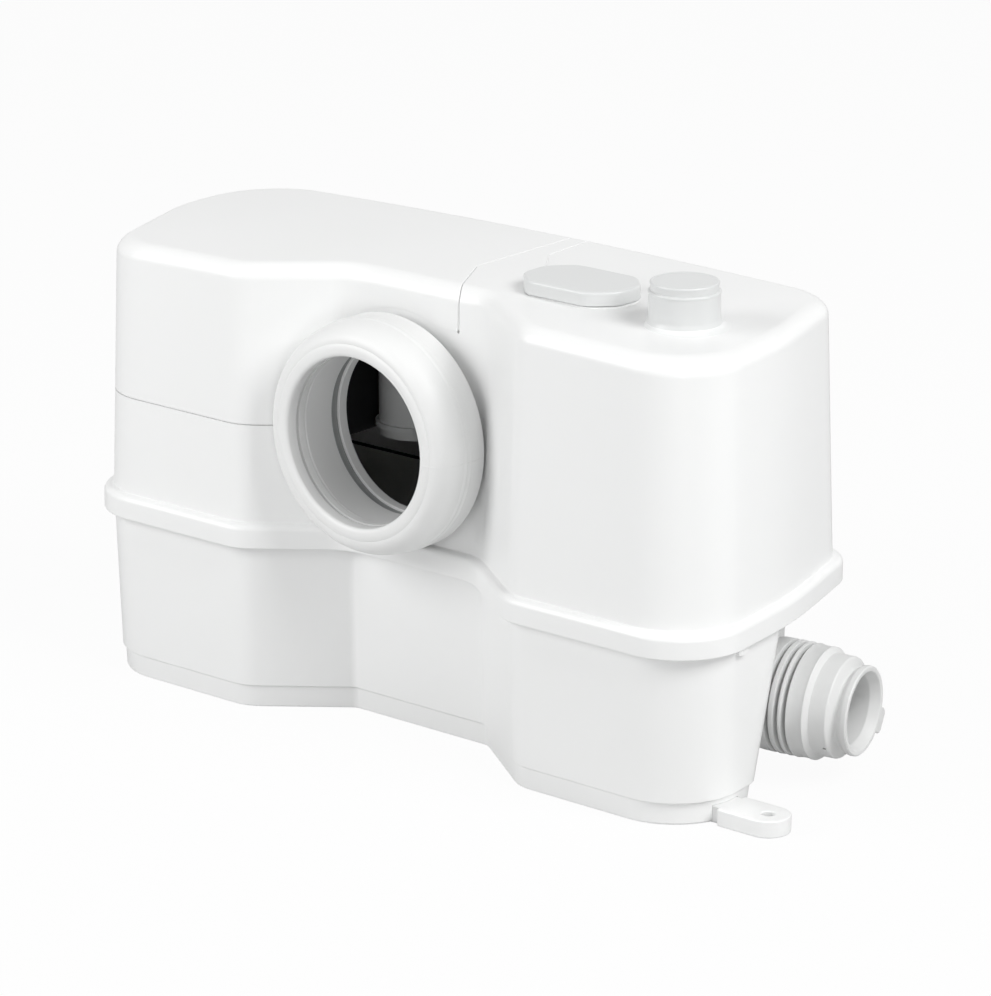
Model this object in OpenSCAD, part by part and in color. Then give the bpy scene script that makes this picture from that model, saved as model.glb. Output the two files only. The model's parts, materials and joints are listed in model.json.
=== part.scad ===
// Macerator toilet pump: a waisted two-lobed tank and lid, a lift-off motor cover, a rubber inlet
// sleeve, a stepped outlet adaptor and the motor, grinder pump, level bell and check valve inside.
// Millimetres. +Z is up, the inlet faces -Y, the outlet is at +X, and the floor is z = 0.

/* [Plan of the body] */
// Depth from the lobes' front face to the back face
body_d = 194; // [186:1:210]
// Right end of the flange at its virtual front corner
right_front_x = 238.5; // [225:0.5:250]
// Right end where it changes direction
right_mid_x = 226; // [218:0.5:236]
// Right end at its virtual back corner
right_back_x = 198; // [180:0.5:210]
// Place of the bend in the right end
right_mid_y = 5; // [-10:1:20]
// Left end of the flange at its virtual front corner
left_front_x = 221.5; // [214:0.5:230]
// Left end where it changes direction
left_mid_x = 260; // [250:0.5:266]
// Left end at its virtual back corner
left_back_x = 259; // [248:0.5:266]
// Place of the bend in the left end
left_mid_y = 8; // [-10:1:20]
// Inner corner of the right lobe
right_lobe_x = 100; // [94:1:112]
// Inner corner of the left lobe
left_lobe_x = 104; // [94:1:112]
// Right end of the recessed middle
right_waist_x = 43; // [40:1:56]
// Left end of the recessed middle
left_waist_x = 52; // [46:1:60]
// Front face of the recessed middle, measured forward from the middle
waist_y = 57; // [50:0.5:62]
// Corner radius at the front of the lobes
front_r = 40; // [30:1:44]
// Corner radius at the back right
right_back_r = 30; // [20:1:36]
// Corner radius at the back left
left_back_r = 45; // [30:1:50]
// Radius of the bowed right end
right_end_r = 300; // [200:10:360]
// Radius of the bend in the left end
left_end_r = 100; // [60:10:110]
// Corner radius at the inner corners of the lobes
lobe_r = 26; // [14:1:34]
// Corner radius at the ends of the recess
waist_r = 34; // [20:1:40]
// Radius of the tank's corners at the ends of the recess
tank_waist_r = 8; // [5:1:20]

/* [Heights of the shells] */
// Underside of the lid's skirt
skirt_z = 100.5; // [96:0.5:106]
// Top of the tank's rim, inside the skirt
rim_z = 108; // [106:0.5:112]
// Height of the gasket between rim and lid
gasket_h = 2; // [1:0.5:3]
// Top of the flange
flange_z = 115; // [114:0.5:122]
// Top of the lid at its ends
top_z = 264.5; // [258:0.5:276]
// How much the top is crowned in the middle
crown = 5.5; // [0:0.5:8]
// Distance from the middle at which the crown has run out
crown_w = 255; // [230:1:280]
// Rounding of the lid's top edge
top_r = 10; // [8:0.5:16]
// Rounding of the flange's top edge
flange_r = 4; // [2:0.5:4]
// Wall of the lid, the cover and the tank
wall = 3.5; // [2.5:0.1:4]
// Overhang of the flange beyond the walls
lip = 5; // [4.6:0.1:6]
// Draft of the lid's walls from flange to top edge
lid_draft = 4; // [2:0.5:6]
// Draft of the tank's walls from rim to base
tank_draft = 2.5; // [1:0.5:4]
// Height of the base band
base_h = 14; // [10:1:18]
// Set-back of the base band
base_step = 1.5; // [1:0.1:2.5]
// Thickness of the tank's floor
floor_t = 4; // [3:0.5:5]
// Running clearance between pieces that lift apart
gap = 0.4; // [0.3:0.1:0.6]
// Clearance between pieces that are seated together
seat = 0.2; // [0.1:0.05:0.3]

/* [Motor cover] */
// Height of the cover's lower edge
split_z = 173.5; // [172:0.5:184]
// Right edge of the cover at the back
split_x = 3; // [0:1:8]
// Right edge of the cover at the front
split_front_x = 26; // [24:1:30]
// Place where the right edge starts to slant
split_bend_y = -5; // [-15:1:5]
// Height at which the cover's front edge ends above the inlet
split_front_z = 244; // [243:0.5:246]
// Width of the parting line
parting = 0.8; // [0.6:0.1:1.2]

/* [Inlet] */
// Sideways place of the inlet
inlet_x = -17; // [-22:1:-14]
// Height of the inlet's centre above the floor
inlet_z = 180; // [176:1:184]
// Seat face of the sleeve, measured forward from the middle
seat_y = 56.5; // [55:0.5:60]
// Radius of the sleeve's mouth
mouth_r = 50; // [48:0.5:50.5]
// Largest radius of the sleeve
sleeve_r = 69; // [66:0.5:70]
// Length of the sleeve in front of its seat
sleeve_l = 35.5; // [32:0.5:40]
// Inner radius of the collar inside the sleeve
collar_r = 51.5; // [51:0.1:52.5]
// Wall of the collar
collar_w = 3.5; // [3:0.1:4]
// Length of the collar in front of the seat
collar_l = 18; // [14:0.5:20]
// Clearance round the sleeve in its pocket
pocket_gap = 1.5; // [1:0.1:2]

/* [Outlet] */
// Sideways place of the outlet's root
port_x = 175; // [172:1:180]
// Place of the outlet's root, measured back from the middle
port_y = 26; // [22:1:30]
// Height of the outlet's root
port_z = 46; // [44:0.5:50]
// Turn of the outlet towards the back
port_yaw = 12; // [8:1:14]
// Fall of the outlet
port_droop = 2; // [0:0.5:3]
// Outer radius of the spigot
spigot_r = 24; // [22:0.5:25]
// Length of the spigot outside the tank
spigot_l = 42; // [38:1:46]
// Radius of the adaptor's bellows
bellows_r = 33; // [30:0.5:34]
// Bellows grooves
groove_n = 3; // [2:1:4]
// Pitch of the grooves
groove_pitch = 5; // [4:0.5:6]
// Width of a groove
groove_w = 1.6; // [1:0.1:2]
// Depth of a groove
groove_d = 3; // [2:0.5:4]
// Length of the adaptor from the tank's wall to its mouth
adaptor_l = 75; // [72:1:80]
// Bore radius at the adaptor's neck
neck_r = 20; // [18:0.5:21]
// Radius of the adaptor's flared rim
rim_r = 26; // [24:0.5:28]

/* [Top fittings] */
// Sideways place of the vent cap
cap_x = 86.5; // [80:0.5:92]
// Place of the vent cap, measured back from the middle
cap_y = -12.5; // [-18:0.5:-8]
// Width of the vent cap
cap_w = 71; // [64:1:76]
// Depth of the vent cap
cap_d = 47; // [42:1:52]
// Cut of the vent cap's corners
cap_cut = 14; // [10:1:16]
// Thickness of the vent cap
cap_h = 8.1; // [7:0.1:11]
// Height of the pad under the vent cap
pad_h = 4; // [3:0.5:6]
// Sideways place of the round stub
stub_x = 167.5; // [160:0.5:172]
// Place of the round stub, measured back from the middle
stub_y = -22.5; // [-28:0.5:-16]
// Radius of the round stub
stub_r = 20; // [18:0.5:22]
// Height of the round stub over the ends of the lid
stub_h = 23.5; // [18:0.5:28]
// Height of the plug's rim above the stub
plug_h = 5; // [4:0.5:7]

/* [Feet] */
// How far a fixing hole stands out from the edge of the flange over it
foot_out = 18.6; // [17:0.1:20]
// Place of the right fixing hole, measured back from the middle
foot_right_y = -51; // [-56:1:-46]
// Place of the left fixing hole, measured back from the middle
foot_left_y = 45; // [36:1:48]
// Radius of a fixing hole
foot_hole_r = 3.7; // [3:0.1:4.5]
// Half width of a foot
foot_r = 13; // [11:0.5:15]
// Thickness of a foot
foot_h = 10; // [8:0.5:12]
// Depth of a foot's root in the tank's base
foot_root = 8; // [6:0.5:10]

/* [Drive] */
// Sideways place of the shaft
motor_x = -153; // [-156:1:-150]
// Place of the shaft, measured back from the middle
motor_y = -9; // [-12:1:-6]
// Top of the dry deck
deck_z = 151; // [148:0.5:154]
// Thickness of the dry deck
deck_t = 3; // [2.5:0.5:4]
// Outer radius of the motor can
can_r = 46; // [43:0.5:46.5]
// Height of the motor can
can_h = 94; // [88:1:98]
// Wall of the motor can
can_w = 2; // [1.5:0.1:2.5]
// Outer radius of the rotor core
rotor_r = 24; // [20:0.5:26]
// Air gap between rotor and stator
air_gap = 0.6; // [0.4:0.1:1]
// Height of the stack of laminations
stack_h = 46; // [40:1:50]
// Radius of the shaft
shaft_r = 5; // [4:0.5:6]
// Running clearance of the shaft in its bearings
run = 0.05; // [0.03:0.01:0.08]
// Radius of the bearings
bearing_r = 13; // [11:0.5:14]
// Height of the bearings
bearing_h = 9; // [7:0.5:10]

/* [Pump] */
// Height of the volute's floor plate
volute_z = 28; // [26:0.5:30]
// Height of the volute
volute_h = 34; // [32:0.5:36]
// Outer radius of the volute
volute_r = 50; // [46:0.5:52]
// Wall of the volute
volute_w = 3; // [2.5:0.1:4]
// Radius of the impeller
impeller_r = 37; // [34:0.5:40]
// Vanes of the impeller
vane_n = 6; // [5:1:8]
// Radius of the suction eye
eye_r = 20; // [18:0.5:22]
// Outer radius of the strainer basket
basket_r = 46; // [42:0.5:48]
// Slots round the strainer basket
slot_n = 18; // [14:1:20]
// Width of a basket slot
slot_w = 5; // [4:0.5:6]
// Radius of the cutter
cutter_r = 36; // [32:0.5:38]
// Outer radius of the discharge pipe
pipe_r = 13; // [12:0.5:14]
// Wall of the discharge pipe
pipe_w = 2; // [1.5:0.1:2.5]

/* [Level switch] */
// Sideways place of the level bell
bell_x = -75; // [-76:1:-72]
// Place of the level bell, measured back from the middle
bell_y = 30; // [26:1:34]
// Outer radius of the level bell
bell_r = 22; // [18:0.5:23]
// Wall of the level bell
bell_w = 2; // [1.5:0.1:2.5]
// Lower edge of the level bell
bell_z = 149; // [145:0.5:153]
// Travel of the switch plunger
plunger_travel = 2; // [1:0.5:2.5]

/* [Check valve] */
// Outer radius of the valve chamber
valve_r = 27; // [26.5:0.5:29]
// Length of the valve chamber
valve_l = 44; // [40:1:48]
// Radius of the flap
flap_r = 15; // [14:0.5:16]
// Thickness of the flap
flap_t = 3; // [2:0.5:4]
// Radius of the flap's pin
pin_r = 1.5; // [1:0.1:2]

/* [Hidden] */
$fn = 64;
// Slack past a face that is cut through
past = 1;
white = "#f4f5f4";
rubber_grey = "#d3d6d4";
part_grey = "#b9bdbc";
black = "#2a2c2e";
steel = "#c4c7c9";

// Half the length of the blocks that cut right through the part
span = 400;
front_y = body_d / 2;
back_y = body_d / 2;

// Corners of the flange's outline, counter-clockwise: x, y, radius, steps of the arc, and steps of the
// side that follows, so that the top edge can follow the crown
function body_corners(inner_r) = [
  [-left_back_x, back_y, left_back_r, 8, 1], [-left_mid_x, left_mid_y, left_end_r, 4, 2],
  [-left_front_x, -front_y, front_r, 10, 2], [-left_lobe_x, -front_y, lobe_r, 6, 1],
  [-left_waist_x, -waist_y, inner_r, 6, 2], [right_waist_x, -waist_y, inner_r, 6, 1],
  [right_lobe_x, -front_y, lobe_r, 6, 2], [right_front_x, -front_y, front_r, 10, 2],
  [right_mid_x, right_mid_y, right_end_r, 4, 1], [right_back_x, back_y, right_back_r, 8, 8]];
body = body_corners(waist_r);

function unit(v) = v / norm(v);
function turned(v) = [-v.y, v.x];
function flat(p) = [p.x, p.y];
function wrap(list, i) = list[(i + len(list)) % len(list)];
function mix(a, b, t) = a + (b - a) * t;

// The same corners with every side moved inwards by d
function inset(c, d) = [for (i = [0:len(c) - 1])
  let (p = flat(c[i]), a = unit(p - flat(wrap(c, i - 1))), b = unit(flat(wrap(c, i + 1)) - p))
  let (m = turned(a) + turned(b), q = p + m * d / (1 + a * b))
  [q.x, q.y, c[i][2], c[i][3], c[i][4]]];

// How far a corner turns, and how much of its sides the fillet takes
function turn_at(c, i) =
  let (p = flat(wrap(c, i)), a = p - flat(wrap(c, i - 1)), b = flat(wrap(c, i + 1)) - p)
  atan2(a.x * b.y - a.y * b.x, a * b);
function taken(c, i) = wrap(c, i)[2] * tan(abs(turn_at(c, i)) / 2);
// Share of a fillet that fits on its sides beside the next fillets
side_share = 0.995;
function fits(c, i) = let (p = flat(c[i]), before = norm(p - flat(wrap(c, i - 1))))
  let (after = norm(flat(wrap(c, i + 1)) - p))
  min(1, side_share * before / (taken(c, i - 1) + taken(c, i)), side_share * after / (taken(c, i) + taken(c, i + 1)));

// Points of the arc that rounds one corner
function corner_arc(c, i) =
  let (p = flat(c[i]), a = unit(p - flat(wrap(c, i - 1))))
  let (turn = turn_at(c, i), side = sign(turn), r = c[i][2] * fits(c, i), n = c[i][3])
  let (start = p - a * r * tan(abs(turn) / 2), centre = start + turned(a) * side * r)
  [for (k = [0:n]) let (s = turn * k / n, v = start - centre)
    centre + [v.x * cos(s) - v.y * sin(s), v.x * sin(s) + v.y * cos(s)]];

// Points inside a side that is cut into n steps
function side_points(from, to, n) = n < 2 ? [] : [for (k = [1:n - 1]) mix(from, to, k / n)];

// Outline with every side moved inwards by d, every corner rounded and the long sides cut into steps
function outline(c, d) =
  let (k = inset(c, d), arcs = [for (i = [0:len(k) - 1]) corner_arc(k, i)])
  [for (i = [0:len(k) - 1]) let (a = arcs[i], last = a[len(a) - 1])
    each concat(a, side_points(last, wrap(arcs, i + 1)[0], k[i][4]))];

// Rise of the crowned top at a place along the width
function crown_at(x) = crown * (1 - pow(x / crown_w, 2));

// One ring of points of the lid: height, set-back and share of the crown
function lid_ring(z, d, share = 0) = [for (p = outline(body, d)) [p.x, p.y, z + share * crown_at(p.x)]];

// Solid skinned over rings of equal length, closed flat, or by fans to a point below and a point above
module skin(rings, root = undef, peak = undef) {
  n = len(rings[0]);
  last = len(rings) - 1;
  fanned = !is_undef(peak);
  points = concat([for (r = rings) each r], fanned ? [root, peak] : []);
  hub = len(rings) * n;
  sides = [for (k = [0:last - 1], i = [0:n - 1]) let (j = (i + 1) % n)
    each [[k * n + i, (k + 1) * n + i, (k + 1) * n + j], [k * n + i, (k + 1) * n + j, k * n + j]]];
  below = fanned ? [for (i = [0:n - 1]) [i, (i + 1) % n, hub]] : [[for (i = [0:n - 1]) i]];
  above = fanned ? [for (i = [0:n - 1]) [last * n + i, hub + 1, last * n + (i + 1) % n]]
    : [[for (i = [n - 1:-1:0]) last * n + i]];
  polyhedron(points, concat(sides, below, above), convexity = 8);
}

// Set-back of the lid's wall, and where its rounding starts
wall_top_z = top_z - top_r;
top_in = lip + lid_draft;
function wall_in(z) = lip + lid_draft * (z - flange_z) / (wall_top_z - flange_z);
// A place in the middle from which the whole top can be seen
peak_y = back_y / 2;

// Everything between two heights
module slab(low, high) translate([-span, -span, low]) cube([2 * span, 2 * span, high - low]);

skirt_ease = 0.8;
module lid_outer() {
  rings = concat(
    [lid_ring(skirt_z - past, skirt_ease + past), lid_ring(skirt_z + skirt_ease, 0)],
    [lid_ring(flange_z - flange_r, 0)],
    [for (a = [45, 90]) lid_ring(flange_z - flange_r * (1 - sin(a)), flange_r * (1 - cos(a)))],
    [lid_ring(flange_z + 1, lip)],
    [for (a = [0:15:90]) lid_ring(wall_top_z + top_r * sin(a), top_in + top_r * (1 - cos(a)), 1)]);
  intersection() {
    skin(rings, [0, peak_y, skirt_z - past], [0, peak_y, top_z + crown]);
    slab(skirt_z, 2 * top_z);
  }
}

// Clearance of the skirt round the tank, and the floor of the lid over the outlet's notch
skirt_gap = 1;
lid_floor_t = 3;
lid_floor_z = rim_z + gasket_h + lid_floor_t;
module lid_inner() {
  r = top_r - wall;
  slope = lid_draft / (wall_top_z - lid_floor_z);
  rings = concat([lid_ring(lid_floor_z - past, lip + wall - past * slope)],
    [for (a = [0:30:90]) lid_ring(wall_top_z + r * sin(a), top_in + wall + r * (1 - cos(a)), 1)]);
  intersection() {
    skin(rings, [0, peak_y, lid_floor_z - past], [0, peak_y, top_z + crown - wall]);
    slab(lid_floor_z, 2 * top_z);
  }
}

// Tank outline: the lid's outline set back by the lip, with a notch for the outlet at the back right.
// The share t runs from 0 at the base to 1 at the rim.
notch_top_y = 9;
notch_base_y = -14;
notch_lead = 5;
notch_r = 12;
notch_in_r = 14;
notch_back_r = 16;
function port_wall_x(y) = port_x - (y - port_y) * tan(port_yaw);
function tank_corners(t) =
  let (b = inset(body_corners(tank_waist_r), lip), y = mix(notch_base_y, notch_top_y, t), yb = back_y - lip)
  let (x = mix(b[7].x, b[8].x, (y - b[7].y) / (b[8].y - b[7].y)))
  concat([for (i = [0:7]) b[i]], [[x, y, notch_r, 6, 1],
    [port_wall_x(y - notch_lead), y - notch_lead, notch_in_r, 6, 1], [port_wall_x(yb), yb, notch_back_r, 6, 1]]);
function tank_share(z) = (z - base_h) / (rim_z - base_h);
function tank_ring(z, d) = let (t = tank_share(z))
  [for (p = outline(tank_corners(t), d + tank_draft * (1 - t))) [p.x, p.y, z]];
function rim_outline(d) = outline(tank_corners(1), d);
base_round = 1.5;

module tank_outer() intersection() {
  skin([tank_ring(-past, base_step + base_round + past), tank_ring(base_round, base_step),
    tank_ring(base_h - base_step, base_step), tank_ring(base_h, 0), tank_ring(rim_z + past, 0)]);
  slab(0, rim_z);
}

floor_r = 6;
module tank_inner() skin([tank_ring(floor_t - past, wall + base_step + floor_r + past),
  tank_ring(floor_t + floor_r, wall + base_step), tank_ring(base_h, wall + base_step),
  tank_ring(rim_z + past, wall)]);

// Frames of the ports: local +Z points out of the mouth
module at_inlet() translate([inlet_x, -seat_y, inlet_z]) rotate([90, 0, 0]) children();
module at_port() translate([port_x, port_y, port_z]) rotate([0, 90 + port_droop, port_yaw]) children();
module at_drive(z = 0) translate([motor_x, motor_y, z]) children();
module ring(outer, inner, h) rotate_extrude() translate([inner, 0]) square([outer - inner, h]);

spigot_hole_r = spigot_r + gap;
foot_top = foot_h + seat;
// Inner end of a foot's root
foot_reach = 22;
foot_neck = 3;
foot_in = -foot_r - foot_reach;

// Frames of the feet: the hole is the origin, and +X points away from the tank
foot_right_x = foot_out
  + mix(right_front_x, right_mid_x, (foot_right_y + front_y) / (right_mid_y + front_y));
foot_left_x = foot_out
  + mix(left_mid_x, left_back_x, (foot_left_y - left_mid_y) / (back_y - left_mid_y));
module at_foot_right() translate([foot_right_x, foot_right_y, 0]) children();
module at_foot_left() translate([-foot_left_x, foot_left_y, 0]) mirror([1, 0, 0]) children();
module at_feet() { at_foot_right() children(); at_foot_left() children(); }

module foot_pocket() translate([foot_in, foot_neck - foot_r - seat, -past])
  cube([2 * foot_reach, 2 * (foot_r - foot_neck + seat), foot_top + past]);

module foot_boss() translate([foot_in - wall, -foot_r - 1, 0.5])
  cube([foot_root + 5, 2 * (foot_r + 1), foot_top + wall]);

// Lower shell: the bosses are left standing where the inner space stops short of the walls
boss_in = wall + 3;
module tank() color(white) difference() {
  tank_outer();
  difference() {
    tank_inner();
    slab(-base_h, floor_t);
    at_feet() foot_boss();
    at_port() translate([0, 0, -boss_in]) cylinder(r = spigot_r + 7, h = 2 * boss_in);
  }
  at_feet() foot_pocket();
  at_port() translate([0, 0, -30]) cylinder(r = spigot_hole_r, h = 60);
}

pocket_r = sleeve_r + pocket_gap;
// Depth of the solid seat behind the sleeve, and the back of it measured forward from the middle
seat_t = 10;
front_shelf = seat_y - seat_t;

// Right edge of the cover in plan, from the front to the back, moved sideways by g
split_front_y = 10 - waist_y;
function split_edge(g) = [[split_front_x + g, -span], [split_front_x + g, split_front_y],
  [split_x + g, split_bend_y], [split_x + g, span]];

// Space of the lift-off cover, shrunk by g on its parted sides
module cover_zone(g) difference() {
  translate([0, 0, split_z + g]) linear_extrude(top_z)
    polygon(concat([[-span, -span]], split_edge(-g), [[-span, span]]));
  at_inlet() translate([0, 0, -40]) cylinder(r = pocket_r + g - 0.1, h = 200);
  translate([inlet_x, -span, 0]) cube([span, span - front_shelf, split_front_z + g]);
}

// Bulkhead that closes the wet space beside the cover
bulk_t = 3;
bulk_drop = 8;
module bulkhead() intersection() {
  translate([-span, split_front_y, split_front_z - bulk_drop]) cube([2 * span, span, span]);
  linear_extrude(2 * top_z) difference() {
    polygon(concat(split_edge(gap + bulk_t), [[-span, span], [-span, -span]]));
    polygon(concat(split_edge(gap), [[-2 * span, span], [-2 * span, -span]]));
  }
}

// Lid and cover together, before they are parted, with the sleeve's seat and the bulkhead left standing
module upper_shell() difference() {
  lid_outer();
  difference() {
    lid_inner();
    at_inlet() translate([0, 0, -seat_t]) cylinder(r = pocket_r + wall, h = front_y);
    bulkhead();
  }
  translate([0, 0, skirt_z - past]) linear_extrude(rim_z + gasket_h - skirt_z + past)
    polygon(outline(body, lip - skirt_gap));
  translate([0, 0, rim_z]) linear_extrude(lid_floor_z - rim_z + past) polygon(rim_outline(wall));
  at_inlet() cylinder(r = pocket_r, h = front_y);
  at_inlet() translate([0, 0, -30]) cylinder(r = collar_r, h = 60);
}

pad_z = top_z + crown_at(cap_x) - 2;
stub_z = top_z + stub_h;
stub_base = top_z + crown_at(stub_x) - 1.2;
stub_fillet = 4;
cap_z = pad_z + pad_h;
filter_w = 44;
filter_d = 26;
filter_h = 18;
filter_wall = 3;
// Skirt of the cap, and set-back of the pad inside it
cap_skirt = 3;
pad_in = cap_skirt + gap;
// Block of the filter's plan, widened all round by g
module filter_block(g, h) translate([-filter_w / 2 - g, -filter_d / 2 - g, 0])
  cube([filter_w + 2 * g, filter_d + 2 * g, h]);

function cut_rect(w, d, c) = [[-w / 2 + c, -d / 2], [w / 2 - c, -d / 2], [w / 2, -d / 2 + c],
  [w / 2, d / 2 - c], [w / 2 - c, d / 2], [-w / 2 + c, d / 2], [-w / 2, d / 2 - c], [-w / 2, -d / 2 + c]];
function as_corners(points, r, n) = [for (p = points) [p.x, p.y, r, n, 1]];
module cut_plate(w, d, c, r, h) linear_extrude(h) polygon(outline(as_corners(cut_rect(w, d, c), r, 3), 0));

// Upper shell that stays on the tank
module lid() color(white) {
  difference() {
    union() {
      difference() {
        upper_shell();
        cover_zone(0);
      }
      at_inlet() translate([0, 0, -8]) ring(collar_r + collar_w, collar_r, collar_l + 8);
      translate([cap_x, cap_y, pad_z - wall])
        cut_plate(cap_w - 2 * pad_in, cap_d - 2 * pad_in, cap_cut - 1, 4, pad_h + wall);
      translate([cap_x, cap_y, cap_z - filter_h - filter_wall]) filter_block(filter_wall, filter_h);
      translate([stub_x, stub_y, top_z - wall - 2]) cylinder(r = stub_r, h = stub_z - top_z + wall + 2);
      translate([stub_x, stub_y, stub_base])
        cylinder(r1 = stub_r + stub_fillet, r2 = stub_r, h = stub_fillet);
    }
    translate([cap_x, cap_y, cap_z - filter_h]) filter_block(seat, 60);
    translate([cap_x, cap_y, cap_z - filter_h - 20]) filter_block(-filter_wall, 60);
    translate([stub_x, stub_y, top_z - 30]) cylinder(r = stub_r - wall, h = 60);
    gland_hole();
  }
}

// Lift-off shell over the motor
module motor_cover() color(white) intersection() {
  upper_shell();
  cover_zone(parting);
}

module lid_gasket() color("#4a4d50") translate([0, 0, rim_z]) linear_extrude(gasket_h) difference() {
  polygon(rim_outline(seat));
  polygon(rim_outline(wall - seat));
}

// Rubber sleeve: band, double ridge, dome, rolled lip and bore
lip_bore_l = 8;
sleeve_band = 10;
module inlet_sleeve() color(rubber_grey) at_inlet() {
  dome_r = sleeve_l - sleeve_band - 2;
  nose = 2;
  dome = [for (a = [0:10:80])
    [mix(mouth_r + nose, sleeve_r - 0.6, cos(a)), sleeve_band + 2 + dome_r * sin(a)]];
  collar_out = collar_r + collar_w + seat;
  rotate_extrude() polygon(concat(
    [[collar_out, seat], [sleeve_r, seat], [sleeve_r, sleeve_band - 2], [sleeve_r + 0.6, sleeve_band - 1],
      [sleeve_r - 0.4, sleeve_band], [sleeve_r, sleeve_band + 1]], dome,
    [[mouth_r + nose, sleeve_l], [mouth_r + 0.6, sleeve_l - 0.5], [mouth_r, sleeve_l - nose],
      [mouth_r, sleeve_l - nose - lip_bore_l], [collar_out, sleeve_l - nose - lip_bore_l - 3]]));
}

// Octagonal cap over the vent: its skirt reaches down round the pad
cap_floor = top_z + crown_at(cap_x - cap_w / 2) + gap;
cap_over = cap_z - cap_floor;
cap_ledge = 4;
cap_top_t = 3;
cap_ease = 1.2;
module vent_cap() color("#eceeee") translate([cap_x, cap_y, cap_floor]) difference() {
  union() {
    cut_plate(cap_w, cap_d, cap_cut, 4, cap_h - cap_ease);
    translate([0, 0, cap_h - cap_ease])
      cut_plate(cap_w - 2 * cap_ease, cap_d - 2 * cap_ease, cap_cut - 0.4, 4, cap_ease);
  }
  hollow = cap_skirt + cap_ledge;
  translate([0, 0, -past])
    cut_plate(cap_w - 2 * cap_skirt, cap_d - 2 * cap_skirt, cap_cut - 1, 4, cap_over + gap + past);
  translate([0, 0, -past])
    cut_plate(cap_w - 2 * hollow, cap_d - 2 * hollow, cap_cut - 3, 4, cap_h - cap_top_t + past);
}

module vent_filter() color(black) translate([cap_x - filter_w / 2, cap_y - filter_d / 2, cap_z - filter_h])
  cube([filter_w, filter_d, filter_h]);

// Plug that closes the round stub
plug_l = 8;
module stub_plug() color("#eceeee") translate([stub_x, stub_y, stub_z]) rotate_extrude()
  polygon([[0, -plug_l], [stub_r - wall - seat, -plug_l], [stub_r - wall - seat, 0], [stub_r - 0.6, 0],
    [stub_r - 0.6, plug_h - 2], [stub_r - 1.6, plug_h - 0.6], [stub_r - 3, plug_h], [0, plug_h]]);

// Rubber outlet adaptor: bellows, two steps, neck and flared mouth
bellows_back = 62;
groove_back = 49;
bellows_z = adaptor_l - bellows_back;
big_l = 17;
step_l = 11;
flare_l = 9;
mouth_bore_r = neck_r + 2.5;
adaptor_w = 3;
tab_turn = 62;
tab_w = 15;
tab_l = 10;
module outlet_adaptor() color(rubber_grey) at_port() {
  root = bellows_z;
  groove_z = adaptor_l - groove_back - groove_w;
  groove = [for (k = [0:groove_n - 1]) let (z = groove_z + k * groove_pitch, r = bellows_r - groove_d)
    each [[bellows_r, z], [r, z], [r, z + groove_w], [bellows_r, z + groove_w]]];
  big_end = groove_z + (groove_n - 1) * groove_pitch + groove_w + big_l;
  step_end = big_end + step_l;
  inner = spigot_r + seat;
  rotate_extrude() polygon(concat([[inner, root], [bellows_r - 2, root], [bellows_r, root + 2]], groove,
    [[bellows_r - 0.5, big_end], [bellows_r - 3.5, big_end + 2], [bellows_r - 3.5, step_end],
      [neck_r + adaptor_w, adaptor_l - flare_l], [neck_r + adaptor_w, adaptor_l - flare_l + 3],
      [rim_r, adaptor_l - 2], [rim_r - 0.8, adaptor_l], [mouth_bore_r + 1, adaptor_l],
      [neck_r, adaptor_l - 6], [neck_r, adaptor_l - flare_l - 8], [inner, spigot_l + 1]]));
  rotate([0, 0, tab_turn]) translate([rim_r - 2, -tab_w / 2, adaptor_l - 3.5]) cube([tab_l, tab_w, 2.5]);
}

// Check valve: straight chamber, bend and spigot through the tank's wall
bend_in = 22;
// The chamber's closed end reaches past the bend, and the spigot starts inside the chamber
bend_over = 4;
spigot_in = bend_in + 6;
chamber_w = 3;
bend = [port_x - bend_in * cos(port_yaw), port_y - bend_in * sin(port_yaw),
  port_z + bend_in * sin(port_droop)];
valve_x = bend.x - valve_l;
chamber_r = valve_r - chamber_w;
// Face that the flap closes on, and its pin in line with the hanging flap
seat_x = valve_x + 5;
hub_r = 2.6;
hub_in = 0.2;
pin_x = seat_x + gap + hub_in + hub_r;
pin_z = bend.z + chamber_r - 3.5;
module along_x(x, l, r) translate([x, bend.y, bend.z]) rotate([0, 90, 0]) cylinder(r = r, h = l);
module valve_body() color(part_grey) difference() {
  union() {
    along_x(valve_x, valve_l + bend_over, valve_r);
    at_port() translate([0, 0, -spigot_in]) cylinder(r = spigot_r, h = spigot_in + spigot_l);
    at_port() translate([0, 0, -wall - 6 - seat]) cylinder(r = spigot_r + 5, h = 3);
    along_x(valve_x - 12, 13, pipe_r + 4);
  }
  along_x(seat_x, valve_x + valve_l + bend_over - chamber_w - seat_x, chamber_r);
  at_port() translate([0, 0, -spigot_in]) cylinder(r = spigot_r - 3.5, h = 100);
  along_x(valve_x - 20, 40, pipe_r - pipe_w);
  along_x(valve_x - 20, 20, pipe_r + seat);
  translate([pin_x, bend.y - 2 * valve_r, pin_z]) rotate([-90, 0, 0])
    cylinder(r = pin_r + seat, h = 4 * valve_r);
}

flap_off = pin_z - bend.z;
module flap() color(black) difference() {
  union() {
    along_x(seat_x + gap, flap_t, flap_r);
    translate([seat_x + gap, bend.y - 4, bend.z]) cube([flap_t, 8, flap_off]);
    translate([pin_x, bend.y - 4, pin_z]) rotate([-90, 0, 0]) cylinder(r = hub_r, h = 8);
  }
  translate([pin_x, bend.y - 40, pin_z]) rotate([-90, 0, 0]) cylinder(r = pin_r + run, h = 80);
}

pin_half = sqrt(pow(valve_r, 2) - pow(flap_off, 2));
module flap_pin() color(steel) translate([pin_x, bend.y - pin_half, pin_z]) rotate([-90, 0, 0])
  cylinder(r = pin_r, h = 2 * pin_half);

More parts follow.
